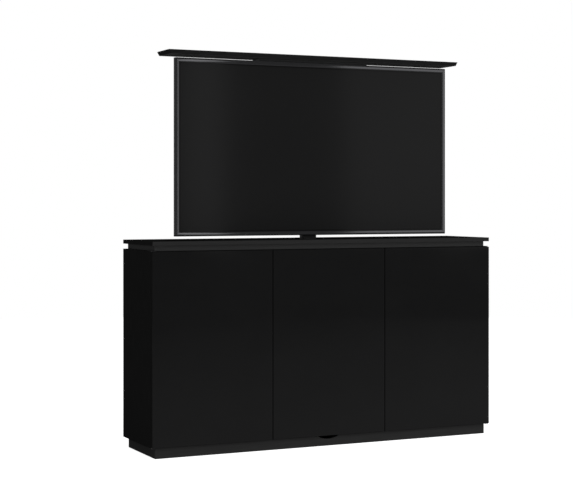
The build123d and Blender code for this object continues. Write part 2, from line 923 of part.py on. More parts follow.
def rear_cover():
    """The screen's plastic back: a flat rim, a raised middle, bosses and a row of slots."""
    rim = block(-screen_half, screen_half, frame_back, frame_back + cover_wall, screen_bottom, screen_top)
    raised = cover_shell(cover_inset, frame_back, screen_back)
    hollow = cover_shell(cover_inset + cover_wall, frame_back, screen_back - cover_wall)
    cover = rim + raised - hollow
    for x in (-hole_pitch / 2, hole_pitch / 2):
        for z in rail_levels:
            cover = cover + deep_rod(x, z, screen_back - screw_grip - boss_root, rail_front, boss_radius)
    slot_z = screen_top - cover_inset - cover_slot_drop
    for step in range(cover_slot_count):
        x = (step - (cover_slot_count - 1) / 2) * cover_slot_pitch
        cover = cover - block(x - cover_slot_length / 2, x + cover_slot_length / 2,
                              screen_back - cover_wall, screen_back,
                              slot_z - cover_slot_height / 2, slot_z + cover_slot_height / 2)
    return without(cover, boss_screws(running_clearance))


def circuit_board(x0, width, height):
    """A circuit board on four posts behind the backlight tray."""
    y0 = frame_back + board_post
    x1 = x0 + width
    z0 = screen_middle - circuit_drop
    z1 = z0 + height
    plate = block(x0, x1, y0, y0 + board_thick, z0, z1)
    for x in (x0 + board_border, x1 - board_border):
        for z in (z0 + board_border, z1 - board_border):
            plate = plate + deep_rod(x, z, frame_back, y0, board_post_radius)
    return plate


def speaker(side):
    """One flat speaker box behind the tray, above the rear cover's lower inside wall."""
    x0, x1 = side * speaker_place - speaker_width / 2, side * speaker_place + speaker_width / 2
    floor = screen_bottom + cover_inset + cover_wall + cover_taper
    return block(x0, x1, frame_back, screen_back - cover_wall - speaker_gap, floor, floor + speaker_height)


os.makedirs("parts", exist_ok=True)

write("left_side_panel", side_panel(-1))
write("right_side_panel", side_panel(1))
write("bottom_panel", bottom_panel())
write("front_top_rail", front_rail())
write("rear_top_rail", rear_rail())
write("left_upright", upright(-1))
write("right_upright", upright(1))
write("back_panel", back_panel())
write("plinth_front_board", plinth_front_board())
write("plinth_side_boards", plinth_side_board(-1), plinth_side_board(1))
write("plinth_rear_board", plinth_rear_board())
write("recess_strips", recess_front_strip(), recess_side_strip(-1), recess_side_strip(1),
      recess_rear_strip())
write("top_slab", top_slab())
write("carcass_dowels", *dowels())
write("cabinet_screws", *(slab_screws() + back_screws() + base_screws()))
write("cable_grommet", cable_grommet())
write("power_inlet", power_inlet())
write("control_box_base", control_box_base())
write("control_box_cover", control_box_cover())
write("control_board", control_board())
write("door_pivot_plates", *(door_plates() + flap_plates()))
write("door_pivot_pins", *(door_pins() + flap_pins()))
write("push_latch_housings", latch_housing(-1), latch_housing(1))
write("door_bumpers", *door_bumpers())
write("flap_magnet", deep_rod(0, magnet_z, door_back + seat_gap, carcass_front + magnet_length,
                              magnet_radius))
write("column_base_plate", base_plate())
write("gearbox_housing", gearbox_housing())
write("spindle_bearing", spindle_bearing())
write("motor_housing", motor_housing())
write("motor_end_cap", motor_end_cap())
write("motor_cable", motor_cable())
write("column_outer_tube", tube(outer_width, outer_depth, outer_wall, outer_bottom, outer_top))
write("outer_tube_collar", outer_collar())

write("column_middle_tube", tube(middle_width, middle_depth, middle_wall, middle_bottom, middle_top))
write("middle_tube_glides", middle_collar(), foot_glide(middle_width, middle_depth, middle_bottom))
write("spindle_nut", spindle_nut())
write("drive_spindle", drive_spindle())

write("column_inner_tube", tube(inner_width, inner_depth, inner_wall, inner_bottom, inner_top))
write("inner_tube_glide", foot_glide(inner_width, inner_depth, inner_bottom))
write("inner_tube_plug", inner_plug())
write("head_block", head_block())
write("lid_support_channel", lid_bar())
write("screen_hanger", screen_hanger())
write("mounting_rails", *[mounting_rail(level) for level in rail_levels])
write("mount_screws", *(head_screws() + hanger_screws() + rail_screws() + boss_screws() + lid_screws()))
write("lid_board", lid_board())
write("screen_frame", screen_frame())
write("screen_glass", screen_glass())
write("screen_backlight_tray", backlight_tray())
write("screen_rear_cover", rear_cover())
write("screen_circuit_boards", circuit_board(-circuit_reach, circuit_width, circuit_height),
      circuit_board(supply_offset, supply_width, supply_height))
write("screen_speakers", speaker(-1), speaker(1))

write("left_door_panel", side_door(-1))
write("left_door_fittings", *(bushes_upright(-1) + [side_strike(-1)]))
write("right_door_panel", side_door(1))
write("right_door_fittings", *(bushes_upright(1) + [side_strike(1)]))
write("middle_door_panel", middle_door())
write("middle_door_fittings", *(bushes_flap() + [flap_strike()]))
write("left_latch_plunger", latch_plunger(-1))
write("right_latch_plunger", latch_plunger(1))
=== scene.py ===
import math

import bpy
import numpy as np
from bpy.props import FloatProperty, FloatVectorProperty, IntProperty, PointerProperty
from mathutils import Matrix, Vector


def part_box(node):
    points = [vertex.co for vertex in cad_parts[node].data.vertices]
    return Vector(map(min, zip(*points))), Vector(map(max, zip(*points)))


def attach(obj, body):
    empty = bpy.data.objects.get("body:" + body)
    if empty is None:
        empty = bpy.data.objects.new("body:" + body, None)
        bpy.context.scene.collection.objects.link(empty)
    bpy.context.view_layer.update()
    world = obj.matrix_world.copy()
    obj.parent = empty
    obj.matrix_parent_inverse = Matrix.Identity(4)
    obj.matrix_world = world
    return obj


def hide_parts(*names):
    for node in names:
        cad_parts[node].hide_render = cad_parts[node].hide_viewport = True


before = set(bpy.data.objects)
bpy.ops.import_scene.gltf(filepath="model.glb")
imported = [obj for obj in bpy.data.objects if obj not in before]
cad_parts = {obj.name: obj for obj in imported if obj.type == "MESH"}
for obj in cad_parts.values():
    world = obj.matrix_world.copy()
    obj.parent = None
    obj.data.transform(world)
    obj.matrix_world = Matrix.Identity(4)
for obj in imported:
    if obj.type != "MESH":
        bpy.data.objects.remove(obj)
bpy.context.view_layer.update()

bl_info = {
    "name": "Screen lift cabinet",
    "version": (1, 0, 0),
    "blender": (4, 5, 0),
    "location": "View3D > Sidebar > Screen lift",
    "description": "Dresses a cabinet with a screen lift: boards, doors, column, works, screen",
    "category": "Object",
}

CABINET = "cabinet"
CARRIAGE = "lift_carriage"
MIDDLE_STAGE = "middle_stage"
SCREW = "drive_screw"

QUARTER = math.pi / 2
TURN = 2 * math.pi
# For each axis that a shape is stacked along: the row's two cross axes, then the axis itself
CROSS_AXES = {"X": (1, 2, 0), "Y": (2, 0, 1), "Z": (0, 1, 2)}
# Points that lie within this distance of each other are one point
SAME_PLACE = 1e-6
# Points whose heights differ by less than this stand at one level
SAME_LEVEL = 1e-5
# Smallest corner radius of an outline, and the angle up to which faces are shaded as one
LEAST_CORNER = 0.0002
SMOOTH_ANGLE = math.radians(35)

# Camera that the photograph was taken with, level, in metres, radians and pixels
CAMERA_PLACE = (-2.6739, -5.4234, 0.9806)
CAMERA_TURN = math.radians(25.31)
SENSOR_WIDTH = 36.0
IMAGE_WIDTH, IMAGE_HEIGHT = 573, 480
HORIZON_ROW = 200.19
SIDE_SHIFT = -0.5 / IMAGE_WIDTH
CAMERA_SHIFT = (HORIZON_ROW - IMAGE_HEIGHT / 2) / IMAGE_WIDTH
# Distances in front of the object between which the mirrored floor fades, in metres
FLOOR_FADE = (0.5, 4.5)
FLOOR_THICK = 0.02
# Cosines from the camera's heading between which the room turns into the white backdrop
BACKDROP_FADE = (0.72, 0.86)
# Each soft lamp: its place, the height it faces over the origin, its width and its height
LAMPS = {
    "key_lamp": ((1.8, -4.2, 3.4), 0.8, 2.6, 2.6),
    "front_lamp": ((0.6, -5.4, 1.0), 0.7, 3.0, 1.6),
    "left_strip": ((1.76, -5.6, 1.46), 1.1, 0.34, 1.7),
    "right_panel": ((3.65, -5.2, 1.46), 1.1, 1.5, 1.7),
}
# Brightness of the two lamps that gloss mirrors, on their own surfaces
PANEL_LEVELS = {"left_strip": 2.2, "right_panel": 1.4}

# Heights of the domes on the push latches' tips and on the bumpers
LATCH_DOME, BUMPER_DOME = 0.0012, 0.0008
# Tubes of the lift column, widest first: the piece, its CAD node, its body and its wall
TUBES = (
    ("outer_column_tube", "column_outer_tube", CABINET, 0.003),
    ("middle_column_tube", "column_middle_tube", MIDDLE_STAGE, 0.0025),
    ("inner_column_tube", "column_inner_tube", CARRIAGE, 0.002),
)
# How much a collar's wall stops short of the tube that slides in it, and the bevel of its bore
# and of a glide's edges
SLIDE_GAP = 0.0002
GLIDE_BREAK = 0.0006
# A fastener whose middle side is narrower than this is a plain stud without a head
STUD_WIDTH = 0.006

# Outer corner radius of the screen's frame
FRAME_CORNER = 0.0025
# The screen's rear cover: how far its shoulder starts from the rim, the shoulder's width, its
# grid's pitch, and half the width of a step between two levels
COVER_INSET, COVER_SHOULDER, COVER_PITCH, COVER_STEP = 0.05, 0.012, 0.012, 0.0006
# Its vents: rows and their pitch, slots in a row and their pitch, half a slot's length and
# height, its depth, and how far the top row lies below the cover's top
VENT_ROWS, VENT_ROW_PITCH, VENT_SLOTS, VENT_PITCH = 4, 0.014, 20, 0.04
VENT_HALF, VENT_TALL, VENT_DEEP, VENT_TOP = 0.016, 0.003, 0.0016, 0.1
# Its socket bay, as left, right, bottom and top, and the bay's depth
BAY = (0.33, 0.47, 1.08, 1.30)
BAY_DEEP = 0.009
# Its bosses' distance from the middle both ways, and their height up to the mounting rails
BOSS_REACH = 0.2
BOSS_HIGH = 0.002
# The bay's square sockets: how far up the bay each one lies, its width and its height
SOCKETS = ((0.16, 0.015, 0.006), (0.36, 0.015, 0.006), (0.56, 0.015, 0.006), (0.76, 0.008, 0.014))
# How far up the bay its round socket lies
ROUND_SOCKET_SHARE = 0.92


# Sizes and colours that a user would change
class BoardFinish(bpy.types.PropertyGroup):
    """Colours of the cabinet's boards, as linear values."""

    door_colour: FloatVectorProperty(
        name="Door lacquer", description="Colour under the doors' clear gloss",
        subtype="COLOR", size=3, min=0, max=1, default=(0.0058, 0.0058, 0.0059))
    board_colour: FloatVectorProperty(
        name="Boards", description="Matt black of the sides, the slab and the lid",
        subtype="COLOR", size=3, min=0, max=1, default=(0.008, 0.008, 0.008))
    band_colour: FloatVectorProperty(
        name="Edge band", description="Lighter strip on the slab's front edge",
        subtype="COLOR", size=3, min=0, max=1, default=(0.0205, 0.0205, 0.0205))
    # Painted reflection: a lighter colour for the lid's lower face, standing in for the white floor
    # that its satin foil mirrors
    underside_sheen_colour: FloatVectorProperty(
        name="Lid underside", description="Greyer foil on the lid's lower face",
        subtype="COLOR", size=3, min=0, max=1, default=(0.038, 0.038, 0.038))
    recess_colour: FloatVectorProperty(
        name="Recess", description="Foil of the recessed strips under the slab",
        subtype="COLOR", size=3, min=0, max=1, default=(0.0366, 0.0366, 0.0366))
    plinth_colour: FloatVectorProperty(
        name="Plinth", description="Satin foil on the plinth boards",
        subtype="COLOR", size=3, min=0, max=1, default=(0.026, 0.026, 0.026))
    back_colour: FloatVectorProperty(
        name="Back panel", description="Dyed hardboard of the back",
        subtype="COLOR", size=3, min=0, max=1, default=(0.012, 0.0115, 0.011))
    skin_thick: FloatProperty(
        name="Lacquer skin", description="How far the gloss wraps round the doors' front edges",
        unit="LENGTH", min=0.0005, max=0.003, default=0.0012)
    band_thick: FloatProperty(
        name="Edge band thickness",
        description="How far the edge strip reaches in from the front edge",
        unit="LENGTH", min=0.0001, max=0.003, default=0.0008)


class ColumnSizes(bpy.types.PropertyGroup):
    """Shapes of the lift column that the plain solids leave out."""

    tube_corner: FloatProperty(
        name="Tube corner", description="Outer corner radius of the widest tube",
        unit="LENGTH", min=0.001, max=0.012, default=0.006)
    corner_step: FloatProperty(
        name="Corner step", description="How much smaller the next tube's corner radius is",
        unit="LENGTH", min=0, max=0.003, default=0.001)
    edge_break: FloatProperty(
        name="Edge break", description="Small bevel on cut tube ends",
        unit="LENGTH", min=0.0001, max=0.001, default=0.0004)
    thread_starts: IntProperty(
        name="Thread starts", description="Number of threads side by side on the spindle",
        min=1, max=6, default=4)
    thread_lead: FloatProperty(
        name="Thread lead", description="Rise of a thread in one turn of the spindle",
        unit="LENGTH", min=0.002, max=0.04, default=0.02)
    thread_depth: FloatProperty(
        name="Thread depth", description="Depth of the spindle's thread",
        unit="LENGTH", min=0.0002, max=0.002, default=0.001)


class ScreenSizes(bpy.types.PropertyGroup):
    """Shapes of the flat screen that the plain solids leave out."""

    bezel_width: FloatProperty(
        name="Bezel", description="Width of the frame round the picture",
        unit="LENGTH", min=0.005, max=0.03, default=0.016)
    bezel_lip: FloatProperty(
        name="Bezel lip", description="Thickness of the frame in front of the glass",
        unit="LENGTH", min=0.001, max=0.004, default=0.002)
    bezel_roll: FloatProperty(
        name="Bezel roll", description="Radius of the frame's outer edge",
        unit="LENGTH", min=0.0003, max=0.002, default=0.0005)
    frame_wall: FloatProperty(
        name="Frame wall", description="Thickness of the frame round the glass",
        unit="LENGTH", min=0.001, max=0.004, default=0.0025)
    cover_wall: FloatProperty(
        name="Cover wall", description="Thickness of the moulded rear cover",
        unit="LENGTH", min=0.001, max=0.004, default=0.002)
    picture_border: FloatProperty(
        name="Picture border", description="Black margin between the frame and the picture",
        unit="LENGTH", min=0.0, max=0.02, default=0.007)
    glass_colour: FloatVectorProperty(
        name="Panel", description="Colour of the screen when it is off",
        subtype="COLOR", size=3, min=0, max=1, default=(0.009, 0.009, 0.0091))
    bezel_colour: FloatVectorProperty(
        name="Bezel metal", description="Reflectance of the dark anodised frame",
        subtype="COLOR", size=3, min=0, max=1, default=(0.0585, 0.0585, 0.061))


class StudioSettings(bpy.types.PropertyGroup):
    """Floor, lamps and camera."""

    floor_radius: FloatProperty(
        name="Floor radius", description="Radius of the pale floor",
        unit="LENGTH", min=2, max=30, default=6.5)
    floor_glow: FloatProperty(
        name="Floor white", description="How far the floor clips to white for the camera",
        min=0, max=1, default=0.8)
    floor_sheen: FloatProperty(
        name="Floor in gloss",
        description="Brightness of the floor beside the object, as gloss mirrors it",
        min=0, max=1, default=0.95)
    fill: FloatProperty(
        name="Fill", description="Even light from all round",
        min=0, max=2, default=0.62)
    key_power: FloatProperty(
        name="Key lamp", description="Power of the large soft lamp",
        unit="POWER", min=0, max=1000, default=66)
    front_power: FloatProperty(
        name="Front lamp", description="Power of the low lamp in front",
        unit="POWER", min=0, max=1000, default=38)
    room_level: FloatProperty(
        name="Room", description="Brightness of the room that gloss mirrors in front of the object",
        min=0, max=1, default=0.3)
    lens: FloatProperty(
        name="Lens", description="Focal length on a 36 mm sensor",
        min=20, max=200, default=92.83)


# Surfaces worked out as arrays
def span(node):
    """Lowest and highest corners of a CAD node."""
    low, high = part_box(node)
    return np.array(low), np.array(high)


def box_of(points):
    """Lowest and highest corners of the box round some points, and its middle."""
    low, high = points.min(0), points.max(0)
    return low, high, (low + high) / 2


def node_points(node):
    """A CAD node's mesh, its points, the first point at each place, and each point's place."""
    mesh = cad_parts[node].data
    points = np.empty(len(mesh.vertices) * 3, np.float32)
    mesh.vertices.foreach_get("co", points)
    points = points.reshape(-1, 3)
    _, first, place = np.unique(np.round(points / SAME_PLACE).astype(np.int64), axis=0,
                                return_index=True, return_inverse=True)
    return mesh, points, first, place.reshape(-1)


def solids(node):
    """Points of each separate solid in a CAD node. Every place takes the lowest label among the
    places that edges join it to, until none changes."""
    mesh, points, _, place = node_points(node)
    edges = np.empty(len(mesh.edges) * 2, np.int32)
    mesh.edges.foreach_get("vertices", edges)
    first, second = place[edges.reshape(-1, 2)].T
    label = np.arange(place.max() + 1)
    while True:
        lowest = np.minimum(label[first], label[second])
        lower = label.copy()
        np.minimum.at(lower, first, lowest)
        np.minimum.at(lower, second, lowest)
        lower = lower[lower]
        if (lower == label).all():
            break
        label = lower
    groups = label[place]
    return [points[groups == value].astype(float) for value in np.unique(groups)]


def make_piece(name, points, faces, smooth=True):
    """A mesh object from points and faces, shaded smooth up to a limit angle."""
    mesh = bpy.data.meshes.new(name)
    mesh.from_pydata(np.asarray(points).reshape(-1, 3).tolist(), [], faces)
    if smooth:
        mesh.polygons.foreach_set("use_smooth", np.ones(len(mesh.polygons), bool))
        mesh.set_sharp_from_angle(angle=SMOOTH_ANGLE)
    mesh.update()
    if mesh.validate():
        raise RuntimeError(f"{name} has faces that Blender refuses")
    piece = bpy.data.objects.new(name, mesh)
    bpy.context.scene.collection.objects.link(piece)
    return piece


def copied_node(name, node, chooser, materials):
    """A CAD node's faces, with points that share a place merged, and a material for each face that
    the chooser works out from the faces' middles and directions."""
    mesh, points, first, place = node_points(node)
    corners = np.empty(len(mesh.loops), np.int32)
    mesh.loops.foreach_get("vertex_index", corners)
    points = points[first].astype(float)
    faces = place[corners].reshape(-1, 3)
    whole = (faces != np.roll(faces, -1, axis=1)).all(1)
    faces = faces[whole]
    piece = make_piece(name, points, faces.tolist(), smooth=False)
    for material in materials:
        piece.data.materials.append(material)
    a, b, c = (points[faces[:, corner]] for corner in range(3))
    normal = np.cross(b - a, c - a)
    normal /= np.maximum(np.linalg.norm(normal, axis=1, keepdims=True), 1e-12)
    index = np.asarray(chooser((a + b + c) / 3, normal), np.int32)
    piece.data.polygons.foreach_set("material_index", index)
    return piece


def ring_faces(rings, points, closed=False, start=0):
    """Quads between each ring and the next, counterclockwise seen from outside. A closed stack
    joins its last ring to its first, and an open one gets a flat cap at each end."""
    steps = rings if closed else rings - 1
    row = np.arange(steps)[:, None]
    column = np.arange(points)[None, :]
    above = (row + 1) % rings
    beside = (column + 1) % points
    corners = (row * points + column, row * points + beside,
               above * points + beside, above * points + column)
    faces = (np.stack(corners, -1).reshape(-1, 4) + start).tolist()
    if not closed:
        faces.append(list(range(start + points - 1, start - 1, -1)))
        faces.append(list(range(start + (rings - 1) * points, start + rings * points)))
    return faces


def join_shells(name, shells, smooth=True):
    """One piece from several stacks of rings, each given as (rings, closed)."""
    points, faces, start = [], [], 0
    for rings, closed in shells:
        count, around = rings.shape[:2]
        faces += ring_faces(count, around, closed, start)
        points.append(rings.reshape(-1, 3))
        start += count * around
    return make_piece(name, np.concatenate(points), faces, smooth)


def outline_rings(low, high, axis, profile, corner, steps=5):
    """A profile carried round a rounded rectangle that fits a box. A profile point is (inset,
    level): the outline is drawn in by the inset, and stands at that height above the box's low
    side. Corner points lie at the corner's centre plus its radius times the cosine and sine."""
    u, v, w = CROSS_AXES[axis]
    inset, level = np.asarray(profile, float).T
    radius = np.maximum(np.broadcast_to(corner, inset.shape) - inset * (np.ndim(corner) == 0),
                        LEAST_CORNER)[:, None, None]
    quarter = np.arange(4)[None, :, None]
    angle = quarter * QUARTER + np.linspace(0, QUARTER, steps + 1)[None, None, :]
    side_u = np.array([1, -1, -1, 1])[None, :, None]
    side_v = np.array([1, 1, -1, -1])[None, :, None]
    half = (high - low) / 2
    middle = (high + low) / 2
    rings = np.empty((len(inset), 4, steps + 1, 3))
    rings[..., u] = (middle[u] + side_u * (half[u] - inset[:, None, None] - radius)
                     + radius * np.cos(angle))
    rings[..., v] = (middle[v] + side_v * (half[v] - inset[:, None, None] - radius)
                     + radius * np.sin(angle))
    rings[..., w] = low[w] + level[:, None, None]
    return rings.reshape(len(inset), -1, 3)


def turned_rings(centre, axis, profile, steps=32):
    """A surface of revolution: each profile point (radius, level) goes once round the axis through
    the centre, at that height above it."""
    u, v, w = CROSS_AXES[axis]
    radius, level = np.asarray(profile, float).T
    angle = np.arange(steps) * TURN / steps
    rings = np.empty((len(radius), steps, 3))
    rings[..., u] = centre[u] + radius[:, None] * np.cos(angle)
    rings[..., v] = centre[v] + radius[:, None] * np.sin(angle)
    rings[..., w] = centre[w] + level[:, None]
    return rings


def rolled_edge(thick, roll, steps=4):
    """(inset, level) points up a plate's edge: a quarter circle, the straight edge and another."""
    angle = np.linspace(0, QUARTER, steps + 1)
    lower = np.stack((roll * (1 - np.sin(angle)), roll * (1 - np.cos(angle))), -1)
    upper = np.stack((roll * (1 - np.cos(angle)), thick - roll + roll * np.sin(angle)), -1)
    return np.concatenate((lower, upper))


def tube_wall(height, wall, bevel):
    """(inset, level) points once round the section of a tube's wall, with its cut ends bevelled."""
    return [(bevel, 0), (0, bevel), (0, height - bevel), (bevel, height),
            (wall - bevel, height), (wall, height - bevel), (wall, bevel), (wall - bevel, 0)]


def settle(piece, body, slot, material, *replaced):
    """The piece gets its material, rides on its body and stands for the nodes that it replaces."""
    if material:
        piece.data.materials.append(material)
    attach(piece, body)
    if replaced:
        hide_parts(*replaced)
    return piece


def build(name, shells, body, slot, material, *replaced):
    """A piece from stacks of rings, dressed, on its body and in place of the nodes it replaces."""
    return settle(join_shells(name, shells), body, slot, material, *replaced)


# Node materials
def wire(tree, kind, inputs, output=0, **settings):
    """A shader node's output. Each input is a value or the output of another node."""
    node = tree.nodes.new("ShaderNode" + kind)
    for name, value in settings.items():
        setattr(node, name, value)
    for name, value in inputs.items():
        if isinstance(value, bpy.types.NodeSocket):
            tree.links.new(value, node.inputs[name])
        else:
            node.inputs[name].default_value = value
    return node.outputs[output]


def maths(tree, operation, *values):
    """The result of one calculation on numbers and other nodes' outputs, in their order."""
    return wire(tree, "Math", dict(enumerate(values)), operation=operation)


def principled(name, colour, roughness, metallic=0.0, specular=0.5):
    """A material with one Principled shader. What is the same all over is set on its sockets."""
    material = bpy.data.materials.get(name)
    if material:
        return material, None
    material = bpy.data.materials.new(name)
    material.use_nodes = True
    shader = material.node_tree.nodes["Principled BSDF"]
    shader.inputs["Base Color"].default_value = (*colour, 1)
    shader.inputs["Roughness"].default_value = roughness
    shader.inputs["Metallic"].default_value = metallic
    shader.inputs["Specular IOR Level"].default_value = specular
    return material, shader


def pattern(tree, kind, scale, stretch=(1, 1, 1), detail=3.0):
    """A noise or cell pattern on the object's own coordinates, as a value from 0 to 1. A small
    stretch along an axis draws the pattern out along it."""
    place = wire(tree, "TexCoord", {}, "Object")
    place = wire(tree, "Mapping", {"Vector": place, "Scale": stretch})
    if kind == "cells":
        return wire(tree, "TexVoronoi", {"Vector": place, "Scale": scale}, "Distance")
    return wire(tree, "TexNoise", {"Vector": place, "Scale": scale, "Detail": detail}, "Fac")


def ranged(tree, value, low, high, start=0.3, stop=0.7):
    """A value spread from its range between start and stop to that between low and high."""
    return wire(tree, "MapRange", {"Value": value, "From Min": start, "From Max": stop,
                                   "To Min": low, "To Max": high}, "Result")


def mixed(tree, factor, first, second):
    """A colour between two, each a colour or the output of another mix."""
    ends = [end if isinstance(end, bpy.types.NodeSocket) else (*end, 1) for end in (first, second)]
    return wire(tree, "Mix", {"Factor": factor, 6: ends[0], 7: ends[1]}, 2, data_type="RGBA")


def tint(colour, share):
    """A colour made darker or lighter by a share."""
    return tuple(min(1.0, c * share) for c in colour)


def varied(tree, factor, colour, spread):
    """A colour that runs from a share darker to the same share lighter."""
    return mixed(tree, factor, tint(colour, 1 - spread), tint(colour, 1 + spread))


def coordinate(tree, axis):
    """The object's own coordinate along an axis."""
    return wire(tree, "SeparateXYZ", {"Vector": wire(tree, "TexCoord", {}, "Object")}, axis)


def inside_frame(tree, sides):
    """1 where the object's own coordinates lie between the low and high of each axis, else 0."""
    shares = [maths(tree, "COMPARE", coordinate(tree, axis), (low + high) / 2, (high - low) / 2)
              for axis, (low, high) in sides.items()]
    return maths(tree, "MULTIPLY", *shares)


def emboss(tree, shader, height, distance):
    """The pattern as relief, so many metres deep."""
    bump = wire(tree, "Bump", {"Distance": distance, "Height": height}, "Normal")
    tree.links.new(bump, shader.inputs["Normal"])


def grained(name, colour, roughness, scale, stretch=(1, 1, 1), spread=0.12, relief=0.0,
            kind="noise", rough_spread=0.06, **constants):
    """A finish whose colour, roughness and relief all follow one pattern."""
    material, shader = principled(name, colour, roughness, **constants)
    if shader is None:
        return material
    tree = material.node_tree
    value = pattern(tree, kind, scale, stretch)
    tree.links.new(varied(tree, ranged(tree, value, 0, 1), colour, spread),
                   shader.inputs["Base Color"])
    tree.links.new(ranged(tree, value, roughness - rough_spread, roughness + rough_spread),
                   shader.inputs["Roughness"])
    if relief:
        emboss(tree, shader, value, relief)
    return material


# What each grained finish takes. Those with no colour here get theirs from the user's settings.
FINISHES = {
    # Matt black foil with a close upright grain
    "matt_board": dict(roughness=0.62, scale=60, stretch=(6, 6, 0.25), spread=0.18,
                       relief=0.00002, specular=0.0),
    # Matt black tape on the doors' edges and inner faces
    "edge_tape": dict(roughness=0.6, scale=90, stretch=(3, 3, 0.3), relief=0.00001, specular=0.0),
    # Matt foil of the lid, with a long level grain
    "lid_foil": dict(roughness=0.6, scale=60, stretch=(0.25, 6, 6), spread=0.2, relief=0.00002,
                     specular=0.0),
    # Satin foil of the recessed band
    "recess_foil": dict(roughness=0.5, scale=50, stretch=(0.2, 6, 6), spread=0.08,
                        relief=0.00001, specular=0.0),
    # Satin foil of the plinth, with a long level grain
    "plinth_foil": dict(roughness=0.5, scale=50, stretch=(0.2, 6, 6), spread=0.1,
                        relief=0.00002, specular=0.0),
    # Dyed hardboard: short fibres pressed flat
    "hardboard": dict(roughness=0.75, scale=420, stretch=(1, 1, 0.4), spread=0.35,
                      relief=0.00006, specular=0.15),
    # Pale beech with long grain across the cabinet
    "beech": dict(colour=(0.55, 0.36, 0.2), roughness=0.6, scale=300, stretch=(0.1, 1, 1),
                  spread=0.18, relief=0.00005),
    # Bright zinc plating with a soft spangle
    "zinc_plate": dict(colour=(0.62, 0.63, 0.65), roughness=0.33, scale=240, spread=0.1,
                       relief=0.00001, kind="cells", metallic=1.0),
    # Steel of the door pivots, blackened and oiled
    "black_plate": dict(colour=(0.012, 0.012, 0.0125), roughness=0.42, scale=400, spread=0.15,
                        relief=0.00001, kind="cells", specular=0.12),
    # Ground steel of the spindle, oiled
    "ground_steel": dict(colour=(0.5, 0.5, 0.51), roughness=0.28, scale=900,
                         stretch=(1, 1, 0.05), metallic=1.0),
    # Black powder coat with its fine orange peel
    "powder_coat": dict(colour=(0.034, 0.034, 0.0345), roughness=0.5, scale=700, spread=0.15,
                        relief=0.00003, kind="cells", specular=0.12),
    # Die-cast aluminium with a sandy skin
    "cast_metal": dict(colour=(0.42, 0.42, 0.43), roughness=0.5, scale=900, spread=0.14,
                       relief=0.00005, metallic=1.0),
    # Satin black enamel on the motor's drawn can
    "motor_enamel": dict(colour=(0.018, 0.018, 0.019), roughness=0.34, scale=30, spread=0.1,
                         specular=0.35),
    # Moulded black plastic with a spark-eroded grain
    "moulded_black": dict(colour=(0.0105, 0.0105, 0.011), roughness=0.55, scale=1600,
                          relief=0.00003, kind="cells", specular=0.2),
    # Moulded black plastic of the screen's back, grained a little coarser
    "cover_plastic": dict(colour=(0.0125, 0.0125, 0.013), roughness=0.58, scale=1100,
                          spread=0.14, relief=0.00004, kind="cells", specular=0.2),
    # Slippery off-white plastic
    "white_acetal": dict(colour=(0.72, 0.71, 0.67), roughness=0.38, scale=120, spread=0.04,
                         relief=0.00001),
    # Turned steel of the fittings, with fine rings of tool marks
    "turned_steel": dict(colour=(0.52, 0.52, 0.53), roughness=0.3, scale=1400,
                         stretch=(0.1, 1, 1), spread=0.1, metallic=1.0),
    # Grey rubber of the bumpers
    "soft_rubber": dict(colour=(0.28, 0.28, 0.28), roughness=0.7, scale=500, spread=0.08,
                        relief=0.00002),
    # Black sheath of a lead
    "cable_sheath": dict(colour=(0.012, 0.012, 0.012), roughness=0.5, scale=600,
                         stretch=(0.2, 1, 1), spread=0.1, relief=0.00002, specular=0.3),
    # Brass of the inlet's contacts
    "contact_brass": dict(colour=(0.66, 0.56, 0.36), roughness=0.25, scale=500, spread=0.08,
                          metallic=1.0),
    # Unlit depth behind a slot or in a socket
    "socket_dark": dict(colour=(0.004, 0.004, 0.004), roughness=0.8, scale=300, spread=0.2,
                        specular=0.05),
    # Dark anodised frame, brushed along the screen's width
    "bezel_metal": dict(roughness=0.075, scale=700, stretch=(0.02, 1, 1), spread=0.04,
                        rough_spread=0.01, metallic=1.0),
    # Pressed zinc-coated sheet of the backlight tray
    "tray_metal": dict(colour=(0.5, 0.5, 0.5), roughness=0.4, scale=90, spread=0.1, kind="cells",
                       metallic=1.0),
    # Dull tinned sheet round the sockets
    "socket_tin": dict(colour=(0.16, 0.16, 0.16), roughness=0.45, scale=500, spread=0.1,
                       metallic=1.0),
}


def finish(look, colour=None, name=None):
    """A grained finish from the table, in its own colour or a given one. A look that is used in
    two colours gets a name for each."""
    values = dict(FINISHES[look])
    if colour is not None:
        values["colour"] = colour
    return grained(name or look, **values)


def door_lacquer(colour):
    """Black gloss lacquer: a mirror-like skin with the faint ripple that spraying leaves."""
    material, shader = principled("door_lacquer", colour, 0.045, specular=0.085)
    if shader is None:
        return material
    tree = material.node_tree
    haze = pattern(tree, "noise", 3.5, (1, 1, 1.6))
    ripple = pattern(tree, "noise", 260, detail=1.0)
    tree.links.new(varied(tree, ranged(tree, haze, 0, 1), colour, 0.08),
                   shader.inputs["Base Color"])
    tree.links.new(ranged(tree, haze, 0.035, 0.07), shader.inputs["Roughness"])
    emboss(tree, shader, ripple, 0.000006)
    return material


def banded_board(colour, band, edge):
    """The slab's matt foil, with a lighter strip on its front as far back as an edge."""
    material, shader = principled("banded_board", colour, 0.6, specular=0.0)
    if shader is None:
        return material
    tree = material.node_tree
    grain = pattern(tree, "noise", 60, (0.25, 6, 6))
    share = ranged(tree, grain, 0, 1)
    at_edge = maths(tree, "LESS_THAN", coordinate(tree, "Y"), edge)
    tree.links.new(mixed(tree, at_edge, varied(tree, share, colour, 0.2),
                         varied(tree, share, band, 0.08)), shader.inputs["Base Color"])
    emboss(tree, shader, grain, 0.00002)
    return material


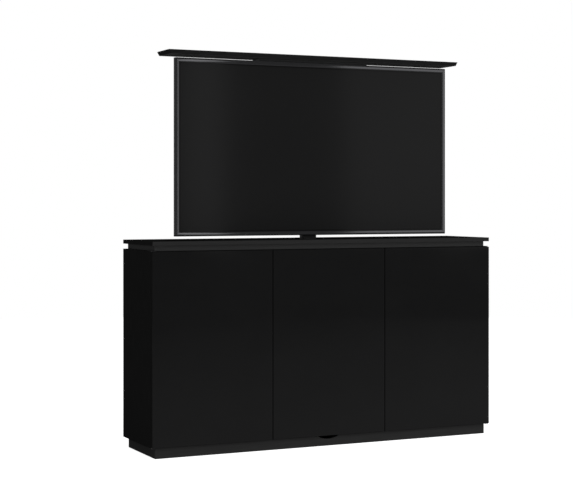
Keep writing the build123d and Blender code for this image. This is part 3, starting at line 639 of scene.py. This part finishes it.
def circuit_laminate():
    """Green laminate with copper tracks under the solder mask."""
    material, shader = principled("circuit_laminate", (0.012, 0.12, 0.04), 0.35)
    if shader is None:
        return material
    tree = material.node_tree
    tracks = ranged(tree, pattern(tree, "cells", 160), 0, 1, 0.25, 0.28)
    weave = ranged(tree, pattern(tree, "noise", 900), 0, 1)
    board = mixed(tree, weave, (0.01, 0.1, 0.035), (0.014, 0.14, 0.05))
    tree.links.new(mixed(tree, tracks, (0.02, 0.2, 0.06), board), shader.inputs["Base Color"])
    emboss(tree, shader, tracks, 0.00002)
    return material


def panel_glass(colour, low, high):
    """The screen, off: nearly black, softly mirroring, with a blacker border round the picture,
    which lies between low and high."""
    material, shader = principled("panel_glass", colour, 0.1, specular=0.046)
    if shader is None:
        return material
    tree = material.node_tree
    inside = inside_frame(tree, {"X": (low[0], high[0]), "Z": (low[2], high[2])})
    cloud = ranged(tree, pattern(tree, "noise", 2.2), 0, 1)
    tree.links.new(mixed(tree, inside, tint(colour, 0.7), varied(tree, cloud, colour, 0.04)),
                   shader.inputs["Base Color"])
    tree.links.new(ranged(tree, inside, 0.07, 0.11, 0, 1), shader.inputs["Roughness"])
    return material


# Which finish each carried-over CAD node takes
def dress(material, *nodes):
    """A CAD node that keeps its shape gets its procedural material."""
    for node in nodes:
        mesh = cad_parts[node].data
        mesh.materials.clear()
        mesh.materials.append(material)


class SCREENLIFT_OT_boards(bpy.types.Operator):
    """Give the carcass, the slab, the lid and the plinth their foils, with a painted reflection
    under the lid and painted shade on the plinth's sides and rear
    """

    bl_idname = "screenlift.boards"
    bl_label = "Boards"

    def execute(self, context):
        colours = context.scene.screenlift_boards
        dress(finish("matt_board", colours.board_colour), "left_side_panel", "right_side_panel",
              "bottom_panel", "front_top_rail", "rear_top_rail", "left_upright", "right_upright")
        front = span("top_slab")[0][1]
        dress(banded_board(colours.board_colour, colours.band_colour, front + colours.band_thick),
              "top_slab")
        # The lid's top and edges take its foil; its downward faces take a lighter copy of the same
        # foil, a painted reflection of the white floor
        foils = (finish("lid_foil", tint(colours.board_colour, 1.3)),
                 finish("lid_foil", colours.underside_sheen_colour, "lid_underside_painted_sheen"))
        lid = copied_node("faced_lid", "lid_board", lambda middle, normal: normal[:, 2] < -0.9,
                          foils)
        settle(lid, CARRIAGE, "satin_black_top", None, "lid_board")
        dress(finish("recess_foil", colours.recess_colour), "recess_strips")
        dress(finish("plinth_foil", colours.plinth_colour), "plinth_front_board")
        # Painted shade: the plinth's sides and rear take the front's foil, its colour times 0.85,
        # for the lesser light that falls on them
        dress(finish("plinth_foil", tint(colours.plinth_colour, 0.85), "plinth_side_painted_shade"),
              "plinth_side_boards", "plinth_rear_board")
        dress(finish("hardboard", colours.back_colour), "back_panel")
        dress(finish("beech"), "carcass_dowels")
        return {"FINISHED"}


class SCREENLIFT_OT_doors(bpy.types.Operator):
    """Give the three doors their gloss lacquer and their fittings their metals"""

    bl_idname = "screenlift.doors"
    bl_label = "Doors"

    def execute(self, context):
        colours = context.scene.screenlift_boards
        skins = (door_lacquer(colours.door_colour), finish("edge_tape", colours.board_colour))
        for door in ("left_door", "middle_door", "right_door"):
            node = f"{door}_panel"
            skin = span(node)[0][1] + colours.skin_thick
            piece = copied_node(f"{door}_lacquered", node,
                                lambda middle, normal: middle[:, 1] > skin, skins)
            settle(piece, door, "gloss_black_door", None, node)
        dress(finish("black_plate"), "left_door_fittings", "right_door_fittings",
              "middle_door_fittings", "flap_magnet", "door_pivot_plates", "door_pivot_pins")
        dress(finish("moulded_black"), "push_latch_housings")
        return {"FINISHED"}


# Door catches
def domed_rod(points, dome, steps=5):
    """A rod along Y with a rounded front end, in the box of a solid's points: the dome's radius is
    the rod's times the sine of an angle, and its height falls with the cosine."""
    low, high, middle = box_of(points)
    radius = (high[0] - low[0]) / 2
    angle = np.linspace(QUARTER / steps, QUARTER, steps)
    front = np.stack((radius * np.sin(angle), dome * (1 - np.cos(angle))), -1)
    profile = np.concatenate((front, [(radius, high[1] - low[1])]))
    return turned_rings((middle[0], low[1], middle[2]), "Y", profile, 24)


class SCREENLIFT_OT_catches(bpy.types.Operator):
    """Round the push latches' tips and dome the rubber bumpers"""

    bl_idname = "screenlift.catches"
    bl_label = "Catches and bumpers"

    def execute(self, context):
        acetal, rubber = finish("white_acetal"), finish("soft_rubber")
        for name, node, dome, body, slot, material in (
                ("left_latch_tip", "left_latch_plunger", LATCH_DOME, "left_push_latch",
                 "white_plastic", acetal),
                ("right_latch_tip", "right_latch_plunger", LATCH_DOME, "right_push_latch",
                 "white_plastic", acetal),
                ("bumper_domes", "door_bumpers", BUMPER_DOME, CABINET, "grey_rubber", rubber)):
            rods = [(domed_rod(points, dome), False) for points in solids(node)]
            build(name, rods, body, slot, material, node)
        return {"FINISHED"}


# Fasteners
def screw_rings(points, drive_depth=0.0011):
    """A screw with a domed head and a cross recess, along the longest side of its solid's box. The
    head's end is the one with the widest points. The dome's radius falls with the cosine of an
    angle while its height rises with the sine. Each point near the top that lies in one of two
    crossed bars sinks by the recess depth."""
    low, high, middle = box_of(points)
    along = int(np.argmax(high - low))
    u, v, w = CROSS_AXES["XYZ"[along]]
    reach = np.hypot(points[:, u] - middle[u], points[:, v] - middle[v])
    head = reach.max()
    wide = points[reach > 0.95 * head][:, w]
    outwards = 1 if abs(wide.mean() - high[w]) < abs(wide.mean() - low[w]) else -1
    base = low[w] if outwards > 0 else high[w]
    shank = reach[np.abs(points[:, w] - base) < SAME_LEVEL].max()
    length = high[w] - low[w]
    head_high = wide.max() - wide.min()
    if head_high < SAME_LEVEL:
        head_high = 0.0
    foot = length - head_high
    dome = np.linspace(0, QUARTER, 6)[:-1]
    crown = np.stack((head * np.cos(dome * 0.9),
                      length - head_high * 0.45 * (1 - np.sin(dome))), -1)
    flat = head * np.array([0.5, 0.42, 0.36, 0.3, 0.24, 0.18, 0.12, 0.05])
    top = np.stack((flat, np.full(len(flat), length)), -1)
    sides = [(shank * 0.6, 0), (shank, shank * 0.6), (shank, foot), (head * 0.98, foot),
             (head, length - head_high * 0.9)]
    rings = turned_rings((0, 0, 0), "Z", np.concatenate((sides, crown, top)), 48)
    across, up = rings[..., 0], rings[..., 1]
    bar, arm = head * 0.13, head * 0.52
    in_bar = (((np.abs(across) < bar) & (np.abs(up) < arm))
              | ((np.abs(up) < bar) & (np.abs(across) < arm)))
    is_top = rings[..., 2] > length - head_high * 0.3
    rings[..., 2] -= np.where(in_bar & is_top, min(drive_depth, head_high * 0.7), 0)
    placed = np.empty_like(rings)
    placed[..., u] = middle[u] + across
    placed[..., v] = middle[v] + up * outwards
    placed[..., w] = base + outwards * rings[..., 2]
    return placed


def stud_rings(points):
    """A plain round stud along Z with a bevelled foot, in the box of its solid's points."""
    low, high, middle = box_of(points)
    radius = (high[0] - low[0]) / 2
    profile = [(radius * 0.6, 0), (radius, radius * 0.6), (radius, high[2] - low[2])]
    return turned_rings((middle[0], middle[1], low[2]), "Z", profile, 24)


class SCREENLIFT_OT_fasteners(bpy.types.Operator):
    """Give every screw a domed head with a cross recess"""

    bl_idname = "screenlift.fasteners"
    bl_label = "Screws"

    def execute(self, context):
        for node, body in (("cabinet_screws", CABINET), ("mount_screws", CARRIAGE)):
            shells = []
            for points in solids(node):
                slim = np.sort(points.max(0) - points.min(0))[1] < STUD_WIDTH
                shells.append((stud_rings(points) if slim else screw_rings(points), False))
            build(f"{node}_crossed", shells, body, "zinc_steel", finish("zinc_plate"), node)
        return {"FINISHED"}


# Lift column
def collar_rings(low, high, lip, wall, bore_inset, corner, bore_corner):
    """A collar's section carried round the tube: a skirt that fits inside the tube, a lip that
    covers its end with a rolled top edge, and the bore that the next tube slides in."""
    height = high[2] - low[2]
    roll = lip * 0.6
    angle = np.linspace(0, QUARTER, 5)
    rolled = np.stack((roll * (1 - np.cos(angle)), height - roll + roll * np.sin(angle)), -1)
    profile = np.concatenate(([(wall, 0), (wall, height - lip), (0, height - lip)], rolled,
                              [(bore_inset - GLIDE_BREAK, height),
                               (bore_inset, height - GLIDE_BREAK), (bore_inset, 0)]))
    corners = np.interp(profile[:, 0], (0, bore_inset), (corner, bore_corner))
    return outline_rings(low, high, "Z", profile, corners)


def glide_rings(low, high, tube_high, corner):
    """A glide: a wall that fills the box from its outside in to the tube that it sits on."""
    wall = tube_wall(high[2] - low[2], high[0] - tube_high[0], GLIDE_BREAK)
    return outline_rings(low, high, "Z", wall, corner)


def thread_rings(low, high, starts, lead, depth, steps=36, rise=0.0006):
    """The spindle: its radius at a height and an angle is the crest radius less the depth times a
    trapezoid wave of the starts times (height over lead less angle over a full turn)."""
    centre = (low + high) / 2
    crest = (high[0] - low[0]) / 2
    height = np.linspace(0, high[2] - low[2], int((high[2] - low[2]) / rise))[:, None]
    angle = (np.arange(steps) * TURN / steps)[None, :]
    phase = (starts * (height / lead - angle / TURN)) % 1.0
    wave = np.clip(np.abs(phase - 0.5) * 5 - 0.6, 0, 1)
    radius = crest - depth * wave
    rings = np.empty((height.shape[0], steps, 3))
    rings[..., 0] = centre[0] + radius * np.cos(angle)
    rings[..., 1] = centre[1] + radius * np.sin(angle)
    rings[..., 2] = low[2] + height
    return rings


class SCREENLIFT_OT_column(bpy.types.Operator):
    """Build the telescopic tubes, their collars and the threaded spindle"""

    bl_idname = "screenlift.column"
    bl_label = "Lift column"

    def execute(self, context):
        sizes = context.scene.screenlift_column
        coat, plastic = finish("powder_coat"), finish("moulded_black")
        corners = [sizes.tube_corner - tube * sizes.corner_step for tube in range(len(TUBES))]
        outer_wall, middle_wall, _ = (wall for *_, wall in TUBES)
        tops = []
        for (name, node, body, wall), corner in zip(TUBES, corners):
            low, high = span(node)
            tops.append(high)
            profile = tube_wall(high[2] - low[2], wall, sizes.edge_break)
            build(name, [(outline_rings(low, high, "Z", profile, corner), True)], body,
                  "black_steel", coat, node)
        outer, middle, inner = tops

        low, high = span("outer_tube_collar")
        lip = high[2] - outer[2]
        ring = collar_rings(low, high, lip, outer_wall, high[0] - middle[0] - SLIDE_GAP,
                            corners[0], corners[1])
        build("outer_mouth_collar", [(ring, True)], CABINET, "black_plastic", plastic,
              "outer_tube_collar")
        shells = []
        for points in solids("middle_tube_glides"):
            low, high, _ = box_of(points)
            if high[2] > middle[2]:
                ring = collar_rings(low, high, lip, middle_wall, high[0] - inner[0] - SLIDE_GAP,
                                    corners[1], corners[2])
            else:
                ring = glide_rings(low, high, middle, corners[0])
            shells.append((ring, True))
        build("middle_stage_glides", shells, MIDDLE_STAGE, "black_plastic", plastic,
              "middle_tube_glides")
        ring = glide_rings(*span("inner_tube_glide"), inner, corners[1])
        build("inner_foot_glide", [(ring, True)], CARRIAGE, "black_plastic", plastic,
              "inner_tube_glide")

        rings = thread_rings(*span("drive_spindle"), sizes.thread_starts, sizes.thread_lead,
                             sizes.thread_depth)
        build("threaded_spindle", [(rings, False)], SCREW, "ground_steel",
              finish("ground_steel"), "drive_spindle")
        dress(coat, "column_base_plate", "screen_hanger", "mounting_rails", "lid_support_channel")
        dress(finish("cast_metal"), "gearbox_housing", "head_block", "inner_tube_plug")
        dress(finish("white_acetal"), "spindle_nut")
        dress(finish("turned_steel"), "spindle_bearing")
        return {"FINISHED"}


# Motor and control box
def can_profile(radius, length, groove):
    """(radius, level) points along the motor's can: a square foot, two rolled grooves near its
    ends and a rounded shoulder."""
    angle = np.linspace(0, math.pi, 7)
    grooves = []
    for share in (0.1, 0.86):
        level = length * share + groove * 1.5 * (1 - np.cos(angle)) / 2
        grooves.append(np.stack((radius - groove * 0.6 * np.sin(angle), level), -1))
    shoulder = np.linspace(0, QUARTER, 6)
    end = np.stack((radius - groove + groove * np.cos(shoulder),
                    length - groove + groove * np.sin(shoulder)), -1)
    foot = [(radius * 0.9, 0), (radius, radius * 0.03)]
    return np.concatenate((foot, *grooves, end))


class SCREENLIFT_OT_motor(bpy.types.Operator):
    """Build the motor's can, its end cap with a cable boot, and dress the control box"""

    bl_idname = "screenlift.motor"
    bl_label = "Motor and control box"

    def execute(self, context):
        plastic = finish("moulded_black")
        low, high = span("motor_housing")
        _, across, level = (low + high) / 2
        radius = (high[2] - low[2]) / 2
        can = turned_rings((low[0], across, level), "X",
                           can_profile(radius, high[0] - low[0], groove=0.002), 48)
        build("motor_can", [(can, False)], CABINET, "motor_paint", finish("motor_enamel"),
              "motor_housing")

        # The cap's dome is a quarter of an ellipse, from the full radius at 0.55 of the length to
        # 0.55 of the radius at the end
        low, high = span("motor_end_cap")
        radius, length = (high[2] - low[2]) / 2, high[0] - low[0]
        angle = np.linspace(0, QUARTER, 7)
        dome = np.stack((radius * (0.55 + 0.45 * np.cos(angle)),
                         length * (0.55 + 0.45 * np.sin(angle))), -1)
        cap = turned_rings((low[0], across, level), "X", np.concatenate(([(radius, 0)], dome)), 48)
        # The boot tapers along the cable from 2.2 of its radius to 1.3, with ribs that follow a
        # cosine
        low, high = span("motor_cable")
        thin = (high[2] - low[2]) / 2
        boot_long, ribs, rib_high = 0.022, 8, 0.0006
        share = np.linspace(0, 1, 25)
        radius = thin * (2.2 - 0.9 * share) + rib_high * np.cos(share * ribs * TURN)
        boot = turned_rings((low[0], across, level), "X",
                            np.stack((radius, boot_long * share), -1), 24)
        build("motor_cap_and_boot", [(cap, False), (boot, False)], CABINET, "black_plastic",
              plastic, "motor_end_cap")
        dress(finish("cable_sheath"), "motor_cable")
        dress(plastic, "control_box_base", "control_box_cover", "power_inlet")
        dress(circuit_laminate(), "control_board", "screen_circuit_boards")
        return {"FINISHED"}


# Back of the cabinet
class SCREENLIFT_OT_rear_fittings(bpy.types.Operator):
    """Build the cable grommet with its rolled lip and the inlet's two contact pins"""

    bl_idname = "screenlift.rear_fittings"
    bl_label = "Grommet and inlet"

    def execute(self, context):
        low, high = span("cable_grommet")
        middle = (low + high) / 2
        outer, depth = (high[0] - low[0]) / 2, high[1] - low[1]
        lip_thick, sleeve, bore = 0.002, outer - 0.006, outer - 0.010
        roll = lip_thick * 0.9
        angle = np.linspace(0, QUARTER, 6)
        lip = np.stack((outer - roll + roll * np.cos(angle),
                        depth - roll + roll * np.sin(angle)), -1)
        mouth = np.stack((bore + roll - roll * np.sin(angle),
                          depth - roll + roll * np.cos(angle)), -1)
        skirt = [(sleeve, 0), (sleeve, depth - lip_thick), (outer, depth - lip_thick)]
        profile = np.concatenate((skirt, lip, mouth, [(bore, 0)]))
        ring = turned_rings((middle[0], low[1], middle[2]), "Y", profile, 64)
        build("rolled_grommet", [(ring, True)], CABINET, "black_plastic",
              finish("moulded_black"), "cable_grommet")

        low, high = span("power_inlet")
        middle = (low + high) / 2
        radius, length, apart, floor, sunk = 0.0012, 0.013, 0.0043, 0.004, 0.002
        angle = np.linspace(0, QUARTER, 5)[:-1]
        tip = np.stack((radius * np.cos(angle), length - radius * (1 - np.sin(angle))), -1)
        pin = np.concatenate(([(radius, -sunk)], tip))
        pins = [(turned_rings((middle[0] + side * apart, low[1] + floor, middle[2]), "Y", pin, 16),
                 False) for side in (-1, 1)]
        build("inlet_pins", pins, CABINET, "fitting_steel", finish("contact_brass"))
        return {"FINISHED"}


# Flat screen
def bezel_section(width, lip, wall, roll, depth):
    """(inset, level) points once round the frame's section, from its front edge back along the
    outside, round the rim, back under the lip and out across the flat face."""
    angle = np.linspace(0, QUARTER, 6)
    front_roll = np.stack((roll * (1 - np.sin(angle)), roll * (1 - np.cos(angle))), -1)
    back = [(0, depth - 0.0004), (0.0004, depth), (wall - 0.0003, depth), (wall, depth - 0.0003),
            (wall, lip), (width, lip)]
    face = [(width, 0.0006), (width - 0.0004, 0.0002), (width - 0.0009, 0), (width / 2, 0)]
    return np.concatenate((front_roll, back, face))


def cover_lines(low, high, edges, pitch, gap):
    """Grid lines from low to high, one every pitch, and a close pair at each edge of a feature."""
    regular = np.linspace(low, high, int(round((high - low) / pitch)) + 1)
    close = np.concatenate((np.asarray(edges) - gap, np.asarray(edges) + gap))
    lines = np.unique(np.round(np.concatenate((regular, close)), 6))
    keep = np.ones(len(lines), bool)
    spacing = np.diff(lines)
    is_close = np.isin(lines, np.round(close, 6))
    keep[1:][(spacing < gap) & ~is_close[1:]] = False
    keep[:-1][(spacing < gap) & ~is_close[:-1]] = False
    keep[0] = keep[-1] = True
    return lines[keep]


def step_in(value, low, high, gap):
    """1 between low and high, falling to 0 from a gap inside each of them to a gap outside it."""
    return np.clip(np.minimum(value - low, high - value) / (2 * gap) + 0.5, 0, 1)


class SCREENLIFT_OT_screen_front(bpy.types.Operator):
    """Build the screen's frame and dress its glass"""

    bl_idname = "screenlift.screen_front"
    bl_label = "Screen front"

    def execute(self, context):
        sizes = context.scene.screenlift_screen
        low, high = span("screen_frame")
        section = bezel_section(sizes.bezel_width, sizes.bezel_lip, sizes.frame_wall,
                                sizes.bezel_roll, high[1] - low[1])
        rings = outline_rings(low, high, "Y", section, FRAME_CORNER)
        build("brushed_bezel", [(rings, True)], CARRIAGE, "screen_metal",
              finish("bezel_metal", sizes.bezel_colour), "screen_frame")
        low, high = span("screen_glass")
        border = sizes.bezel_width - sizes.frame_wall + sizes.picture_border
        dress(panel_glass(sizes.glass_colour, low + border, high - border), "screen_glass")
        dress(finish("tray_metal"), "screen_backlight_tray")
        dress(finish("cover_plastic"), "screen_speakers")
        return {"FINISHED"}


class SCREENLIFT_OT_screen_back(bpy.types.Operator):
    """Build the screen's moulded rear cover with its vents, socket bay and bosses"""

    bl_idname = "screenlift.screen_back"
    bl_label = "Screen back"

    def execute(self, context):
        wall = context.scene.screenlift_screen.cover_wall
        low, high = span("screen_rear_cover")
        back = span("mounting_rails")[0][1] - BOSS_HIGH
        self.cover(low, high, back, wall)
        boss = [(0.012, -0.001), (0.011, 0.0004), (0.008, 0.0008), (0.008, 0.0017),
                (0.0075, BOSS_HIGH)]
        middle = (low[2] + high[2]) / 2
        bosses = [(turned_rings((x, back, middle + z), "Y", boss, 40), False)
                  for x in (-BOSS_REACH, BOSS_REACH) for z in (-BOSS_REACH, BOSS_REACH)]
        build("cover_bosses", bosses, CARRIAGE, "cover_plastic", finish("cover_plastic"))
        self.sockets(back - BAY_DEEP)
        return {"FINISHED"}

    def cover(self, low, high, back, wall):
        """The cover as its depth over a grid: from the rim it rises to the back over a shoulder
        that follows 3 s squared less 2 s cubed, and each vent and the bay step in from there."""
        rows = high[2] - VENT_TOP - np.arange(VENT_ROWS) * VENT_ROW_PITCH
        slots = (np.arange(VENT_SLOTS) - (VENT_SLOTS - 1) / 2) * VENT_PITCH
        x_edges = (slots - VENT_HALF, slots + VENT_HALF, BAY[:2],
                   (low[0] + COVER_INSET, high[0] - COVER_INSET))
        z_edges = (rows - VENT_TALL, rows + VENT_TALL, BAY[2:],
                   (low[2] + COVER_INSET, high[2] - COVER_INSET))
        x, z = np.meshgrid(
            cover_lines(low[0], high[0], np.concatenate(x_edges), COVER_PITCH, COVER_STEP),
            cover_lines(low[2], high[2], np.concatenate(z_edges), COVER_PITCH, COVER_STEP),
            indexing="ij")
        edge = np.minimum(np.minimum(x - low[0], high[0] - x),
                          np.minimum(z - low[2], high[2] - z)) - COVER_INSET
        share = np.clip(edge / COVER_SHOULDER, 0, 1)
        rim = low[1] + wall
        depth = rim + (back - rim) * share * share * (3 - 2 * share)
        vents = (sum(step_in(x, slot - VENT_HALF, slot + VENT_HALF, COVER_STEP) for slot in slots)
                 * sum(step_in(z, row - VENT_TALL, row + VENT_TALL, COVER_STEP) for row in rows))
        depth -= VENT_DEEP * vents
        depth -= (BAY_DEEP * step_in(x, BAY[0], BAY[1], COVER_STEP)
                  * step_in(z, BAY[2], BAY[3], COVER_STEP))
        columns = x.shape[1]
        corner = (np.arange(x.shape[0] - 1)[:, None] * columns + np.arange(columns - 1)[None, :])
        corners = (corner, corner + 1, corner + columns + 1, corner + columns)
        faces = np.stack(corners, -1).reshape(-1, 4).tolist()
        cover = make_piece("moulded_rear_cover", np.stack((x, depth, z), -1), faces)
        cover.data.materials.append(finish("cover_plastic"))
        # Faces in the vents take a near-black finish: painted shade for the unlit depth of the
        # slots
        cover.data.materials.append(finish("socket_dark"))
        vented = (vents[:-1, :-1] + vents[1:, :-1] + vents[:-1, 1:] + vents[1:, 1:]) / 4 > 0.75
        cover.data.polygons.foreach_set("material_index", vented.ravel().astype(np.int32))
        thick = cover.modifiers.new("wall", "SOLIDIFY")
        thick.thickness = wall
        thick.offset = -1
        settle(cover, CARRIAGE, "cover_plastic", None, "screen_rear_cover")

    def sockets(self, floor):
        """A column of plain sockets in the bay: a metal shell round a near-black throat plate for
        each, painted shade for the socket's unlit hollow.
        """
        x = (BAY[0] + BAY[1]) / 2
        sunk, proud, wall, bevel, corner = 0.001, 0.004, 0.0007, 0.0002, 0.0012
        throat_in, throat_corner = 0.0006, 0.0008
        shells, throats = [], []
        for share, wide, tall in SOCKETS:
            z = BAY[2] + (BAY[3] - BAY[2]) * share
            low = np.array([x - wide / 2, floor - sunk, z - tall / 2])
            high = np.array([x + wide / 2, floor + proud, z + tall / 2])
            shell = tube_wall(sunk + proud, wall, bevel)
            shells.append((outline_rings(low, high, "Y", shell, corner), True))
            low, high = low + throat_in, high - throat_in
            high[1] = floor + throat_in
            throat = rolled_edge(high[1] - low[1], bevel)
            throats.append((outline_rings(low, high, "Y", throat, throat_corner), False))
        z = BAY[2] + (BAY[3] - BAY[2]) * ROUND_SOCKET_SHARE
        barrel = [(0.0045, -0.001), (0.0045, 0.005), (0.0041, 0.0054), (0.0032, 0.0054),
                  (0.0030, 0.005), (0.0030, -0.001)]
        shells.append((turned_rings((x, floor, z), "Y", barrel, 32), True))
        build("socket_shells", shells, CARRIAGE, "tray_metal", finish("socket_tin"))
        # The throats are near-black plates: painted shade in the sockets' hollows
        build("socket_throats", throats, CARRIAGE, "cover_plastic", finish("socket_dark"))


# Floor, lamps and camera
class SCREENLIFT_OT_studio(bpy.types.Operator):
    """Lay the pale floor, hang the lamps and set up the camera"""

    bl_idname = "screenlift.studio"
    bl_label = "Studio"

    def execute(self, context):
        settings = context.scene.screenlift_studio
        self.floor(settings)
        self.world(context.scene, settings)
        self.lamps(settings)
        self.camera(context.scene, settings)
        context.scene.view_settings.view_transform = "Standard"
        return {"FINISHED"}

    def floor(self, settings):
        """Pale floor that clips to white for the camera, away from the plinth and its shadow."""
        rim = [(settings.floor_radius, 0), (settings.floor_radius, FLOOR_THICK)]
        rings = turned_rings((0, 0, -FLOOR_THICK), "Z", rim, 96)
        floor = join_shells("pale_floor", [(rings, False)], smooth=False)
        material, shader = principled("pale_floor", (0.9, 0.9, 0.9), 0.9, specular=0.0)
        tree = material.node_tree
        speck = ranged(tree, pattern(tree, "noise", 40), 0, 1)
        tree.links.new(mixed(tree, speck, (0.89, 0.89, 0.89), (0.91, 0.91, 0.91)),
                       shader.inputs["Base Color"])
        rays = tree.nodes.new("ShaderNodeLightPath").outputs
        seen = maths(tree, "MAXIMUM", rays["Is Camera Ray"], rays["Is Transmission Ray"])
        level = maths(tree, "MULTIPLY", seen, settings.floor_glow)
        shown = maths(tree, "MULTIPLY", level, self.beside_plinth(tree))
        glow = wire(tree, "Emission", {"Strength": shown})
        lit = wire(tree, "AddShader", {0: shader.outputs["BSDF"], 1: glow})
        mirrored = wire(tree, "Emission", {"Strength": self.fading_floor(tree, settings)})
        surface = wire(tree, "MixShader", {0: rays["Is Glossy Ray"], 1: lit, 2: mirrored})
        tree.links.new(surface, tree.nodes["Material Output"].inputs["Surface"])
        floor.data.materials.append(material)

    def fading_floor(self, tree, settings):
        """What gloss mirrors of the floor: white beside the object, dimmer out in the room."""
        ahead = wire(tree, "VectorMath", {
            0: wire(tree, "TexCoord", {}, "Object"),
            1: (-math.sin(CAMERA_TURN), -math.cos(CAMERA_TURN), 0)}, "Value",
            operation="DOT_PRODUCT")
        return ranged(tree, ahead, settings.floor_sheen, settings.room_level, *FLOOR_FADE)

    def beside_plinth(self, tree):
        """1 on the floor outside the plinth's outline, 0 inside it, where no light gets in."""
        low = np.minimum(span("plinth_front_board")[0], span("plinth_side_boards")[0])
        high = np.maximum(span("plinth_rear_board")[1], span("plinth_side_boards")[1])
        inside = inside_frame(tree, {"X": (low[0], high[0]), "Y": (low[1], high[1])})
        return maths(tree, "SUBTRACT", 1, inside)

    def world(self, scene, settings):
        """White to the camera and behind the object, a dim room in front of it to gloss, and an
        even fill to everything else."""
        world = bpy.data.worlds.new("studio")
        scene.world = world
        world.use_nodes = True
        tree = world.node_tree
        tree.nodes.clear()
        towards = wire(tree, "VectorMath", {
            0: wire(tree, "TexCoord", {}, "Generated"),
            1: (math.sin(CAMERA_TURN), math.cos(CAMERA_TURN), 0)}, "Value",
            operation="DOT_PRODUCT")
        backdrop = ranged(tree, towards, settings.room_level, 1.0, *BACKDROP_FADE)
        rays = tree.nodes.new("ShaderNodeLightPath").outputs
        seen = rays["Is Camera Ray"]
        brightness = maths(tree, "MAXIMUM", backdrop, seen)
        for ray in ("Is Glossy Ray", "Is Transmission Ray"):
            seen = maths(tree, "MAXIMUM", seen, rays[ray])
        level = wire(tree, "Mix", {"Factor": seen, 2: settings.fill, 3: brightness})
        background = wire(tree, "Background", {"Color": (1, 1, 1, 1), "Strength": level})
        output = tree.nodes.new("ShaderNodeOutputWorld")
        tree.links.new(background, output.inputs["Surface"])

    def lamps(self, settings):
        """A large key from the upper right and a low front lamp, neither of which gloss mirrors,
        and two panels that it does: the screen's frame shows them as soft bright stretches. A
        panel's power is its brightness times pi times its area."""
        powers = {"key_lamp": settings.key_power, "front_lamp": settings.front_power}
        for name, (place, aim, wide, tall) in LAMPS.items():
            mirrored = name in PANEL_LEVELS
            data = bpy.data.lights.new(name, "AREA")
            data.shape = "RECTANGLE"
            data.size, data.size_y = wide, tall
            data.energy = PANEL_LEVELS[name] * math.pi * wide * tall if mirrored else powers[name]
            lamp = bpy.data.objects.new(name, data)
            bpy.context.scene.collection.objects.link(lamp)
            lamp.location = place
            lamp.visible_camera = False
            lamp.visible_glossy = mirrored
            x, y, z = -place[0], -place[1], aim - place[2]
            lamp.rotation_euler = (QUARTER + math.atan2(z, math.hypot(x, y)), 0,
                                   math.atan2(y, x) - QUARTER)

    def camera(self, scene, settings):
        """The photograph's camera, level, with its horizon set by the shift."""
        data = bpy.data.cameras.new("photo_camera")
        data.sensor_width = SENSOR_WIDTH
        data.lens = settings.lens
        data.shift_x = SIDE_SHIFT
        data.shift_y = CAMERA_SHIFT
        camera = bpy.data.objects.new("photo_camera", data)
        scene.collection.objects.link(camera)
        camera.location = CAMERA_PLACE
        camera.rotation_euler = (QUARTER, 0, -CAMERA_TURN)
        scene.camera = camera


OPERATORS = (
    SCREENLIFT_OT_boards,
    SCREENLIFT_OT_doors,
    SCREENLIFT_OT_catches,
    SCREENLIFT_OT_fasteners,
    SCREENLIFT_OT_column,
    SCREENLIFT_OT_motor,
    SCREENLIFT_OT_rear_fittings,
    SCREENLIFT_OT_screen_front,
    SCREENLIFT_OT_screen_back,
    SCREENLIFT_OT_studio,
)
SETTINGS = {
    "screenlift_boards": BoardFinish,
    "screenlift_column": ColumnSizes,
    "screenlift_screen": ScreenSizes,
    "screenlift_studio": StudioSettings,
}


class SCREENLIFT_PT_panel(bpy.types.Panel):
    """Sidebar panel with the sizes, the colours and a button for each group of pieces"""

    bl_idname = "SCREENLIFT_PT_panel"
    bl_label = "Screen lift"
    bl_space_type = "VIEW_3D"
    bl_region_type = "UI"
    bl_category = "Screen lift"

    def draw(self, context):
        layout = self.layout
        for name, group in SETTINGS.items():
            box = layout.box()
            settings = getattr(context.scene, name)
            for key in group.__annotations__:
                box.prop(settings, key)
        for operator in OPERATORS:
            layout.operator(operator.bl_idname)


def register():
    """Make the settings, the operators and the panel known to Blender."""
    for group in (*SETTINGS.values(), *OPERATORS, SCREENLIFT_PT_panel):
        bpy.utils.register_class(group)
    for name, group in SETTINGS.items():
        setattr(bpy.types.Scene, name, PointerProperty(type=group))


def unregister():
    """Undo what register does, in the opposite order."""
    for name in SETTINGS:
        delattr(bpy.types.Scene, name)
    for group in (SCREENLIFT_PT_panel, *reversed(OPERATORS), *reversed(SETTINGS.values())):
        bpy.utils.unregister_class(group)


def main():
    """Register the add-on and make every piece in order."""
    register()
    bpy.ops.screenlift.boards()
    bpy.ops.screenlift.doors()
    bpy.ops.screenlift.catches()
    bpy.ops.screenlift.fasteners()
    bpy.ops.screenlift.column()
    bpy.ops.screenlift.motor()
    bpy.ops.screenlift.rear_fittings()
    bpy.ops.screenlift.screen_front()
    bpy.ops.screenlift.screen_back()
    bpy.ops.screenlift.studio()


if __name__ == "__main__":
    main()
